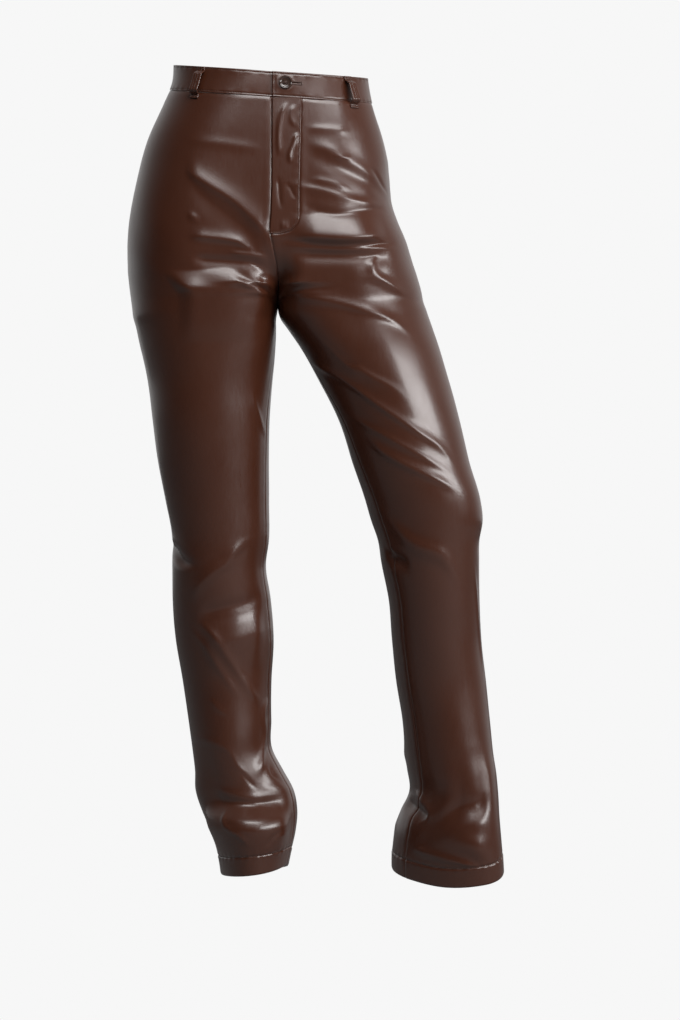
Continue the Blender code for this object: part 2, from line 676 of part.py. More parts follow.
def button(place):
    """A rimmed four-hole button on its thread shank, which ends on the layer underneath."""
    edge = BUTTON_RADIUS
    rim = edge - BUTTON_RIM
    back, front = SEAM_GAP, SEAM_GAP + BUTTON_THICKNESS
    foot = -(BAND_CLOTH + LAYER_CLEARANCE - SEAM_GAP)
    profile = (
        (SHANK_RADIUS, foot),
        (SHANK_RADIUS, back),
        (edge - 1.4, back),
        (edge, back + 1.3),
        (edge, front - 0.7),
        (edge - 0.6, front - 0.1),
        (rim + 0.4, front),
        (rim, front - 0.3),
        (rim - 0.5, front - BUTTON_DISH),
    )
    made = turned("button", place, profile, BUTTON_STEPS, BUTTON_BROWN)
    reach = SEWING_HOLE_FROM_CENTRE / math.sqrt(2)
    holes = [
        prism("hole", place, circle(x, y, SEWING_HOLE_RADIUS, 10), back - 1, front + 1)
        for x in (-reach, reach)
        for y in (-reach, reach)
    ]
    cut(made, holes)


def across_at(half, drop, width):
    """How far across the front a distance from the centre seam is."""
    return 0.2 * width / np.abs(half.section(drop, 0.2)[..., 0])


def fly_placket(left, panel):
    """The fly's own layer on the left front, ending in a rounded corner at its foot."""
    end = panel.row(FLY_END_DROP)
    corner = panel.row(FLY_END_DROP - FLY_CORNER)
    whole = np.arange(0, math.floor(end) + 1)
    rows = np.unique(np.concatenate([whole, np.linspace(corner, end, FLY_CORNER_ROWS)]))
    drops = np.interp(rows, np.arange(panel.drop.shape[0]), panel.drop[:, 0])
    outer, inner = [], []
    for row, drop in zip(rows, drops):
        width = FLY_WIDTH_TOP + (FLY_WIDTH_LOW - FLY_WIDTH_TOP) * drop / FLY_END_DROP
        into_corner = max(0.0, 1 - (FLY_END_DROP - drop) / FLY_CORNER)
        width -= FLY_CORNER * (1 - math.sqrt(1 - into_corner**2))
        overhang, edge = panel.column(across_at(left, drop, np.array([-FLY_OVERHANG, width])))
        between = [min(1.0, edge * 0.4), min(2.0, edge * 0.8)]
        columns = np.array([overhang, 0.0, *between, edge])
        inner.append(panel.spot(row, columns, FLY_CLEARANCE))
        outer.append(panel.spot(row, columns, FLY_CLEARANCE + CLOTH))
    wall("fly_placket", np.stack(outer), np.stack(inner))


def fly_zip(right, left, right_panel, left_panel):
    """The zip's tape, plain, behind the two fronts."""
    last = left_panel.row(FLY_END_DROP - ZIP_END_ABOVE_FLY_END)
    rows = np.concatenate([[0.15], np.arange(1, math.floor(last) + 1)])
    depth = CLOTH + FLY_CLEARANCE
    outer, inner = [], []
    for x in (-ZIP_WIDTH / 2, -ZIP_WIDTH / 4, -1.0, 1.0, ZIP_WIDTH / 4, ZIP_WIDTH / 2):
        half, panel = (left, left_panel) if x > 0 else (right, right_panel)
        column = panel.column(across_at(half, 100.0, abs(x)))
        outer.append(panel.spot(rows, column, -depth))
        inner.append(panel.spot(rows, column, -depth - ZIP_THICKNESS))
    wall("fly_zip", np.stack(outer, axis=1), np.stack(inner, axis=1), ZIP_BROWN)


def belt_loop(loop, half):
    """A strap sewn down at the top of the band and just below it, standing off in between."""
    top = -BAND_HEIGHT / 2 + 0.5
    foot = BAND_HEIGHT / 2 + LOOP_BELOW_BAND
    shoulders = np.linspace(0.0, 1.0, 5)
    upper = top + LOOP_TAB + LOOP_SHOULDER * shoulders
    lower = foot - LOOP_TAB - LOOP_SHOULDER * shoulders[::-1]
    heights = np.concatenate([[top], upper, lower, [foot]])
    rise = ease(shoulders)
    on_band = BAND_PROUD + SEAM_GAP + 0.1
    off = BAND_PROUD + LOOP_STAND_OFF
    depth = np.concatenate(
        [
            [on_band],
            on_band + (off - on_band) * rise,
            off + (SEAM_GAP - off) * rise,
            [SEAM_GAP],
        ]
    )
    reach = LOOP_WIDTH / 2 / half.across_length(0.0)
    across = loop.across + np.linspace(-reach, reach, LOOP_COLUMNS + 1)[None, :]
    across = np.broadcast_to(across, (len(heights), LOOP_COLUMNS + 1))
    drop = np.stack([half.waist_drop(row, h) for row, h in zip(across, heights)])
    depth = np.broadcast_to(depth[:, None], drop.shape)
    inner = half.at_drop(drop, across) + half.smooth_normal(drop, across) * depth[..., None]
    outward = np.cross(inner[2:, 1] - inner[:-2, 1], inner[1:-1, 2] - inner[1:-1, 0])
    outward = unit(np.concatenate([outward[:1], outward, outward[-1:]]))
    facing = np.sign((outward * half.smooth_normal(drop, across)[:, 1]).sum(axis=-1))
    outer = inner + (outward * facing[:, None])[:, None, :] * LOOP_THICKNESS
    wall(loop.name, outer, inner)


def clear_scene():
    for obj in list(bpy.data.objects):
        bpy.data.objects.remove(obj)


def main():
    clear_scene()
    halves = {
        "right": Half(-1, RIGHT_SECTIONS, RIGHT_HEM, RIGHT_FOLDS),
        "left": Half(1, LEFT_SECTIONS, LEFT_HEM, LEFT_FOLDS),
    }
    fronts = {side: Panel(half, front=True) for side, half in halves.items()}
    backs = {side: Panel(half, front=False) for side, half in halves.items()}
    for side in halves:
        fronts[side].build(f"front_{side}")
        backs[side].build(f"back_{side}")
    right, left = halves["right"], halves["left"]
    band = waistband(right, left)
    place = button_place(left)
    cut_buttonhole(band, place)
    button(place)
    fly_placket(left, fronts["left"])
    fly_zip(right, left, fronts["right"], fronts["left"])
    for loop in LOOPS:
        belt_loop(loop, left if loop.side > 0 else right)


main()
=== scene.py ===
"""Faux leather trousers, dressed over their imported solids.

The trousers are two halves, each half a hip above the crotch and a leg tube below it. A point on a
half has a place "across" it, 0 at the inseam or the centre front, 1 at the middle of the front, 2
at the side seam, 3 at the middle of the back and 4 at the inseam or the centre back, and a drop,
which is its distance below the middle of the waistband. The tables and fields are in millimetres
unless they say otherwise, and the meshes are in metres.
"""

from __future__ import annotations

import logging
import math
from dataclasses import dataclass, field
from enum import Enum
from typing import Any, Iterable, Sequence

import bpy
import numpy as np
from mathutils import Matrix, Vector

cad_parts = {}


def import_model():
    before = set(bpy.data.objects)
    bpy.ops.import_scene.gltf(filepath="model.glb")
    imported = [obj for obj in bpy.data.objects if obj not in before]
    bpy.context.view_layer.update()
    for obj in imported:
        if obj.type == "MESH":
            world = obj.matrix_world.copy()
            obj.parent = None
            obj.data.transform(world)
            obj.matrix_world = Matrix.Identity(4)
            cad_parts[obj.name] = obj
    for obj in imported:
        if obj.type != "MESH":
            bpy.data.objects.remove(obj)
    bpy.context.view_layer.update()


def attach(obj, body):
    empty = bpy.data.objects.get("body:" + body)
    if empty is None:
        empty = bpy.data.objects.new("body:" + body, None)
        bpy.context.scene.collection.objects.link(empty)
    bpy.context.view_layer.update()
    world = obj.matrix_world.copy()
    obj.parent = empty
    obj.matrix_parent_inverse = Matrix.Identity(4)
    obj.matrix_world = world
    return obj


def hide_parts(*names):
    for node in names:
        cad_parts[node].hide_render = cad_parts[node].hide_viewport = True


LOG = logging.getLogger("trousers")
MM = 0.001
BODY = "root"
QUARTER_TURN = math.pi / 2
# Places across: the centre front or the inseam is 0.
SIDE_SEAM = 2.0
CENTRE_BACK = 4.0
# Drops and sizes that several pieces share.
CROTCH_DROP = 295.0
SEAM_GAP = 0.3
BAND_HEIGHT = 34.0
WAIST_SEAM = BAND_HEIGHT / 2 + SEAM_GAP
FLY_END = 211.0
# The place across, near the centre front, whose x says how wide a unit of across is there.
NEAR_CENTRE = 0.2
# How far a line of stitches lies above the cloth.
STITCH_LIFT = 0.12
# What the camera sees around the trousers.
PALE = (0.93, 0.93, 0.93)


class Side(Enum):
    """The wearer's side that a half is on. The value is the sign of its x."""

    RIGHT = -1
    LEFT = 1


class Run(Enum):
    """Which way a fold runs over the cloth."""

    ACROSS = "across"
    DOWN = "down"


class Half(Enum):
    """Which part of a leg's cloth a panel is, as the places across where it starts and ends."""

    FRONT = (0.0, SIDE_SEAM)
    BACK = (SIDE_SEAM, CENTRE_BACK)


@dataclass(frozen=True)
class Section:
    """A level section of one half: how far it reaches each way, and how its seams are turned."""

    drop: float
    inner: float
    outer: float
    front: float
    back: float
    turn: float = 0.0
    skew: float = 0.0


@dataclass(frozen=True)
class HemPoint:
    """How low the hem hangs at one place across."""

    across: float
    drop: float


@dataclass(frozen=True)
class Fold:
    """A soft ridge, or a trough if its height is below 0, along a smooth path.

    It is upper and lower millimetres wide on its two sides, and its ends fade over a share of its
    length. crisp is 2 for a soft ridge, nearer 1 for one with a sharper line, and FLAT for one
    with flat sides that meet in an edge.
    """

    run: Run
    path: tuple[tuple[float, float], ...]
    height: float
    upper: float
    lower: float
    fade: float
    crisp: float = 2.0


FLAT = 0.0
A, D = Run.ACROSS, Run.DOWN

RIGHT_SECTIONS = (
    Section(-45, 0, 136, 86, 88),
    Section(0, 0, 138, 87, 90),
    Section(26, 0, 149, 90, 95),
    Section(75, 0, 171, 96, 105),
    Section(128, 0, 186, 100, 115),
    Section(182, 0, 196, 102, 122),
    Section(236, 0, 199, 101, 124),
    Section(280, 0, 195, 99, 115),
    Section(295, 0, 193, 98, 109),
    Section(303, 0, 192, 98, 106, 0.5),
    Section(312, 0, 191, 98, 104, 1),
    Section(326, -1, 187, 98, 101, 3),
    Section(352, -1, 181, 97, 96, 7),
    Section(397, 3, 171, 94, 89, 12),
    Section(451, 7, 164, 91, 83, 16),
    Section(505, 8, 157, 85, 80, 18),
    Section(559, 8, 147, 79, 76, 20),
    Section(613, 8, 138, 74, 74, 20),
    Section(645, 12, 138, 72, 76, 20),
    Section(693, 6, 138, 66, 82, 20),
    Section(747, 2, 134, 61, 89, 20),
    Section(801, 5, 125, 58, 92, 20),
    Section(855, 5, 117, 60, 90, 20),
    Section(895, 4, 111, 64, 88, 20),
    Section(922, -10, 108, 68, 88, 20),
    Section(949, -25, 107, 72, 88, 20),
    Section(976, -30, 98, 77, 88, 20),
    Section(1003, -28, 86, 80, 88, 20),
    Section(1030, -22, 78, 81, 88, 20),
    Section(1080, -12, 70, 80, 88, 20),
)
LEFT_SECTIONS = (
    Section(-45, 0, 124, 86, 88),
    Section(0, 0, 125, 87, 90),
    Section(26, 0, 130, 90, 95),
    Section(75, 0, 145, 96, 105),
    Section(105, 0, 152, 98.6, 111),
    Section(128, 0, 154, 100, 115),
    Section(165, 0, 158, 101.7, 120.4),
    Section(182, 0, 164, 102, 122),
    Section(210, 0, 176, 101.9, 124.4),
    Section(236, 0, 184, 101, 124),
    Section(280, 0, 197, 99, 115),
    Section(295, 0, 200, 98, 109),
    Section(303, 1.5, 203, 98, 106, 0.5),
    Section(312, 5, 206, 98.4, 104, 1),
    Section(326, 15, 211, 99.4, 101, 3),
    Section(352, 33, 220, 102, 93, 7),
    Section(397, 58, 233, 104, 80, 14),
    Section(451, 85, 247, 105, 67, 22),
    Section(505, 103, 259, 104, 57, 28, 4),
    Section(559, 121, 274, 102, 50, 33, 8),
    Section(586, 129, 277, 99, 47, 35, 8),
    Section(613, 138, 273, 96, 48, 37, 7),
    Section(639, 142, 273, 92, 49, 38, 6),
    Section(693, 153, 274, 84, 58, 40, 4),
    Section(747, 157, 277, 75, 67, 41, 4),
    Section(801, 163, 283, 69, 71, 42, 6),
    Section(855, 171, 288, 69, 69, 43, 10),
    Section(895, 175, 292, 72, 66, 44, 14),
    Section(922, 178, 296, 76, 64, 44, 18),
    Section(949, 181, 298, 80, 62, 42, 22),
    Section(976, 170, 299, 84, 62, 40, 26),
    Section(1003, 162, 301, 86, 62, 40, 28),
    Section(1030, 158, 303, 86, 62, 40, 30),
    Section(1080, 158, 306, 84, 60, 40, 30),
)
RIGHT_HEM = (
    HemPoint(0, 1046),
    HemPoint(1, 1055),
    HemPoint(2, 1062),
    HemPoint(3, 1066),
    HemPoint(4, 1046),
)
LEFT_HEM = (
    HemPoint(0, 1064),
    HemPoint(0.5, 1070),
    HemPoint(1, 1065),
    HemPoint(2, 1042),
    HemPoint(3, 1048),
    HemPoint(4, 1064),
)
# How far the centre seam is drawn to the wearer's left, as (drop, shift).
SEAM_SWAY = (
    (150, 0.0),
    (185, -1.2),
    (213, -2.6),
    (230, 0.2),
    (248, 3.6),
    (272, 6.0),
    (290, 4.5),
    (320, 0.0),
)
RIGHT_FOLDS = (
    # the hip and the top of the thigh
    Fold(A, ((0, 214), (0.16, 194), (0.35, 171), (0.64, 146), (0.91, 124)), 3.5, 12, 6, 0.16, 1.6),
    Fold(A, ((0.04, 232), (0.27, 206), (0.56, 176), (0.86, 148)), -1.8, 8, 16, 0.3),
    Fold(A, ((0.71, 193), (0.78, 189), (0.85, 186)), 1.3, 5, 5, 0.4),
    Fold(A, ((0.17, 233), (0.32, 223), (0.57, 217), (0.85, 214)), 3.2, 9, 5, 0.25, 1.5),
    Fold(A, ((0.05, 242), (0.2, 239), (0.46, 236)), 1.6, 3.5, 4, 0.3, 1.5),
    Fold(A, ((0.08, 255), (0.22, 250), (0.46, 247), (0.84, 244)), -2.8, 6, 9, 0.2, 1.8),
    Fold(A, ((0.38, 281), (0.61, 281), (0.83, 283), (1.2, 283)), 7.8, 22, 62, 0.2, FLAT),
    Fold(A, ((0.06, 101), (0.5, 93), (1, 85)), 0.9, 7, 7, 0.3, 1.8),
    Fold(D, ((0.18, 261), (0.29, 275), (0.42, 286)), -1.5, 4, 4, 0.3, 1.7),
    Fold(D, ((0.36, 411), (0.28, 433), (0.13, 459), (0, 479)), 1.6, 4, 5, 0.35, 1.6),
    # the knee
    Fold(
        D,
        ((0.2, 604), (0.35, 609), (0.54, 625), (0.64, 641), (0.87, 659), (1.04, 675), (1.14, 697)),
        3, 7, 9, 0.3, 1.6,
    ),
    Fold(A, ((0.13, 687), (0.5, 697), (0.78, 703), (1.1, 711)), -3, 9, 12, 0.25, 1.6),
    Fold(A, ((0.11, 730), (0.61, 743), (1.08, 748)), 5, 25, 42, 0.25, FLAT),
    Fold(D, ((1.1, 714), (0.86, 741), (0.73, 765), (0.49, 802), (0.23, 835)), 2.4, 6, 6, 0.2, 1.5),
    Fold(D, ((1.27, 724), (1.09, 742), (0.83, 784), (0.56, 827)), 1.6, 5, 5, 0.3, 1.5),
    Fold(D, ((1.01, 820), (0.92, 833), (0.75, 846)), 1, 4, 4, 0.35, 1.6),
    Fold(D, ((1.52, 867), (0.92, 884), (0.71, 912), (0.58, 937)), 1.3, 7, 8, 0.25, 1.6),
    Fold(
        D, ((-0.03, 819), (0.13, 842), (0.11, 877), (0.28, 907), (0.47, 929)),
        2.3, 4, 5, 0.2, 1.6,
    ),
    Fold(A, ((-0.06, 946), (0.29, 941), (0.5, 942)), 0.9, 4, 5, 0.35, 1.6),
    Fold(D, ((1.72, 612), (1.49, 628), (1.17, 652)), -5, 9, 9, 0.3),
    # above the hem
    Fold(A, ((0.15, 949), (0.61, 953), (1.04, 946), (1.3, 941)), 1.4, 5, 5, 0.25, 1.5),
    Fold(A, ((0.07, 958), (0.61, 962), (0.99, 961), (1.62, 958)), -11, 76, 17, 0.3, FLAT),
    Fold(A, ((0.11, 955), (0.61, 960), (0.98, 959), (1.38, 954)), -1.8, 4.5, 5.5, 0.25, 1.8),
    Fold(A, ((0.07, 992), (0.93, 993), (1.69, 997)), 8, 24, 34, 0.2, FLAT),
    Fold(D, ((1.08, 966), (1.08, 989), (0.94, 1000), (0.8, 1016)), 2, 3, 3, 0.25, 1.4),
    Fold(D, ((0.22, 990), (0.43, 999), (0.57, 1017)), -1.6, 3, 3, 0.3, 1.4),
    Fold(D, ((0.73, 915), (0.62, 929), (0.53, 943)), -1.6, 3.5, 3.5, 0.35, 1.5),
    Fold(D, ((0.08, 906), (0.19, 922), (0.07, 937)), -1.5, 3.5, 3.5, 0.35, 1.5),
    # the back
    Fold(A, ((2.2, 292), (2.9, 318), (3.6, 316)), 4, 13, 12, 0.35, 1.8),
    Fold(A, ((2.5, 334), (3.1, 348), (3.8, 340)), -5, 12, 12, 0.35, 1.8),
    Fold(A, ((2.4, 470), (3.0, 498), (3.5, 486)), 3, 14, 12, 0.35, 1.8),
    Fold(A, ((2.2, 586), (2.9, 602), (3.7, 594)), 4, 12, 12, 0.35, 1.8),
    Fold(A, ((2.3, 640), (3.0, 628), (3.7, 640)), -6, 13, 13, 0.35, 1.8),
    Fold(A, ((2.4, 676), (3.1, 664), (3.8, 676)), 4, 12, 12, 0.35, 1.8),
    Fold(A, ((2.4, 700), (3.1, 712), (3.6, 696)), -4, 12, 12, 0.35, 1.8),
    Fold(A, ((2.2, 812), (2.9, 846), (3.6, 838)), -4, 14, 13, 0.35, 1.8),
    Fold(A, ((2.3, 894), (3.0, 882), (3.7, 902)), 4, 13, 13, 0.35, 1.8),
    Fold(A, ((2.1, 950), (3.0, 960), (3.8, 954)), -6, 12, 12, 0.35, 1.8),
    Fold(A, ((2.2, 986), (3.0, 996), (3.8, 984)), 5, 13, 12, 0.35, 1.8),
)
LEFT_FOLDS = (
    # the hip
    Fold(A, ((0.65, 31), (1.04, 32), (1.94, 31)), 4.5, 22, 62, 0.3),
    Fold(A, ((0.36, 72), (0.65, 73), (1.04, 76)), 0.8, 5, 5, 0.3, 1.7),
    Fold(A, ((0.35, 91), (0.66, 101), (1.04, 120), (1.47, 139)), 1.7, 9, 8, 0.3, 1.8),
    Fold(A, ((0.34, 105), (0.56, 114), (0.92, 130), (1.38, 146), (1.66, 156)), -1.5, 10, 9, 0.25),
    Fold(A, ((0.39, 139), (0.56, 141), (0.82, 148), (1.01, 156)), 1.2, 4, 5, 0.35, 1.6),
    Fold(A, ((0.16, 143), (0.32, 149), (0.56, 154), (1, 166), (1.48, 169)), 1.7, 4.5, 7, 0.25, 1.6),
    Fold(A, ((0.3, 171), (0.47, 179), (0.7, 184), (1.07, 179), (1.55, 171)), -1.4, 5, 5, 0.2, 1.6),
    Fold(A, ((0.14, 214), (0.44, 215), (0.79, 217), (1.37, 208)), 8.5, 27, 11, 0.3, FLAT),
    Fold(
        A, ((0.05, 219), (0.41, 223), (0.73, 225), (1.16, 222), (1.51, 221)),
        -1.4, 3, 3.5, 0.25, 1.8,
    ),
    Fold(
        A, ((0.06, 224), (0.18, 226), (0.4, 229), (0.66, 231), (1.15, 228), (1.54, 226)),
        1.4, 3, 3.5, 0.25, 1.5,
    ),
    Fold(A, ((0.09, 237), (0.48, 239), (0.94, 240), (1.4, 240)), -3, 6, 10, 0.25),
    Fold(D, ((1.26, 117), (1.49, 137), (1.71, 153)), -1.6, 3.5, 3.5, 0.35, 1.5),
    # the fly
    Fold(D, ((0.19, 35), (0.12, 51), (0.07, 75), (0.07, 112)), 1.5, 3.5, 4, 0.22, 1.6),
    Fold(D, ((0.28, 39), (0.23, 56), (0.27, 73)), 1, 3.5, 4, 0.3, 1.7),
    Fold(D, ((0.3, 76), (0.25, 91), (0.2, 105), (0.2, 121)), 1.7, 3, 3.5, 0.25, 1.5),
    Fold(D, ((0.06, 135), (0.07, 153), (0.1, 181)), -1.2, 3, 3, 0.3, 1.5),
    Fold(D, ((0.16, 143), (0.22, 155), (0.27, 168)), -1, 3, 3, 0.35, 1.5),
    Fold(A, ((0.08, 201), (0.13, 202), (0.21, 202)), 1.3, 7, 6, 0.4),
    Fold(A, ((0.71, 109), (0.84, 110), (0.98, 111)), 1, 3, 3, 0.35, 1.6),
    Fold(D, ((1.19, 233), (1.08, 250), (1.14, 265), (1.36, 278), (1.57, 294)), 3, 6, 6, 0.3, 1.6),
    # the thigh
    Fold(
        A, ((0.39, 290), (0.73, 296), (1.05, 309), (1.28, 324), (1.43, 346)),
        2.8, 9, 6, 0.22, 1.6,
    ),
    Fold(A, ((0.46, 325), (0.5, 358), (0.68, 392), (0.95, 418)), 1.6, 5, 9, 0.3, 1.6),
    Fold(
        A, ((0.01, 372), (0.39, 401), (0.6, 436), (0.85, 469), (1.11, 497), (1.21, 514)),
        2.6, 8, 4.5, 0.2, 1.5,
    ),
    Fold(A, ((0.08, 441), (0.45, 471), (0.76, 498), (1.09, 526)), 1.8, 5, 4.5, 0.25, 1.5),
    Fold(A, ((0.24, 480), (0.55, 511), (0.8, 529), (1.06, 547)), 2.6, 8, 5, 0.2, 1.6),
    # the knee
    Fold(A, ((0.01, 581), (0.38, 617), (0.79, 638), (0.98, 663)), 3, 10, 12, 0.3),
    Fold(A, ((-0.16, 628), (0.08, 638), (0.32, 643)), -5, 8, 10, 0.4),
    # above the hem
    Fold(A, ((0.1, 1025), (0.31, 995), (0.53, 974), (0.89, 964), (1.22, 961)), -2.6, 12, 14, 0.3),
    Fold(A, ((-0.43, 964), (0.08, 974), (0.34, 985)), -6, 8, 8, 0.4, 1.9),
    Fold(
        D, ((-0.2, 942), (0.06, 960), (0.25, 974), (0.21, 986), (0.1, 995)),
        1.8, 3.5, 3.5, 0.25, 1.5,
    ),
    Fold(
        A, ((0.07, 1021), (0.35, 1028), (0.55, 1033), (0.78, 1038), (0.93, 1040)),
        2.6, 5, 4, 0.22, 1.3,
    ),
    Fold(A, ((0.45, 1005), (0.81, 1016), (1.19, 1010)), 1.8, 14, 12, 0.4),
    Fold(D, ((0.81, 992), (0.9, 1019), (0.96, 1040)), 2, 14, 14, 0.4),
    Fold(A, ((0.39, 971), (0.76, 957), (1.16, 955)), -5, 62, 26, 0.3, FLAT),
    # the shin
    Fold(D, ((1.25, 638), (1.29, 692), (1.32, 752), (1.32, 799)), 1.7, 3.5, 3.5, 0.3, 1.5),
    # the back
    Fold(A, ((2.2, 296), (2.9, 324), (3.6, 308)), 4, 13, 12, 0.35, 1.8),
    Fold(A, ((2.4, 340), (3.0, 354), (3.7, 334)), -5, 12, 12, 0.35, 1.8),
    Fold(A, ((2.3, 480), (2.9, 456), (3.5, 436)), 3, 13, 13, 0.35, 1.8),
    Fold(A, ((2.2, 606), (2.9, 588), (3.6, 566)), 4, 12, 12, 0.35, 1.8),
    Fold(A, ((2.3, 668), (3.0, 640), (3.6, 622)), -5, 13, 13, 0.35, 1.8),
    Fold(A, ((2.3, 700), (2.9, 676), (3.5, 656)), 4, 12, 12, 0.35, 1.8),
    Fold(A, ((2.2, 744), (2.9, 722), (3.6, 700)), -4, 12, 12, 0.35, 1.8),
    Fold(A, ((2.2, 838), (2.9, 866), (3.6, 848)), -4, 14, 13, 0.35, 1.8),
    Fold(A, ((2.3, 904), (3.0, 912), (3.7, 894)), 4, 13, 13, 0.35, 1.8),
    Fold(A, ((2.1, 974), (3.0, 960), (3.7, 964)), -5, 12, 12, 0.35, 1.8),
    Fold(A, ((2.2, 1006), (3.0, 996), (3.7, 1000)), 4, 12, 12, 0.35, 1.8),
)


def smooth(knots: Sequence[float], values: Sequence[float], x: np.ndarray) -> np.ndarray:
    """Reads a smooth curve through values at knots.

    Args:
        knots: Where the values stand, rising.
        values: The values.
        x: Where to read the curve. It is held at its ends outside the knots.

    Returns:
        The curve at x.
    """
    k, v = np.asarray(knots, float), np.asarray(values, float)
    slopes = np.gradient(v, k)
    x = np.clip(x, k[0], k[-1])
    i = np.clip(np.searchsorted(k, x) - 1, 0, len(k) - 2)
    step = k[i + 1] - k[i]
    t = (x - k[i]) / step
    return (
        (1 + 2 * t) * (1 - t) ** 2 * v[i]
        + t * (1 - t) ** 2 * step * slopes[i]
        + t * t * (3 - 2 * t) * v[i + 1]
        + t * t * (t - 1) * step * slopes[i + 1]
    )


def ease(t: Any) -> np.ndarray:
    """Returns a smooth step from 0 to 1 as t goes from 0 to 1."""
    t = np.clip(t, 0.0, 1.0)
    return t * t * (3 - 2 * t)


def unit(vectors: np.ndarray) -> np.ndarray:
    """Returns the vectors at length 1."""
    return vectors / np.linalg.norm(vectors, axis=-1, keepdims=True)


def bell(offset: Any, width: float) -> np.ndarray:
    """Returns a smooth bump that is 1 at no offset and falls away over its width."""
    return np.exp(-((offset / width) ** 2))


def pucker(along: np.ndarray, wave: float, sway: float, slow: float) -> np.ndarray:
    """Returns uneven ripples along a seam, from -1 to 1.

    Args:
        along: The place along the seam.
        wave: How long a ripple is, for each radian.
        sway: How unevenly the ripples are spaced.
        slow: How far apart the close and the wide ripples are, for each radian.

    Returns:
        The ripples.
    """
    return np.sin(along / wave + sway * np.sin(along / slow))


def rounded(distance: Any, radius: float) -> np.ndarray:
    """Returns how far a face falls back, to a full round, at a distance from its edge."""
    share = np.clip(np.asarray(distance) / radius, 0.0, 1.0)
    return radius * (1 - np.sqrt(1 - (1 - share) ** 2))


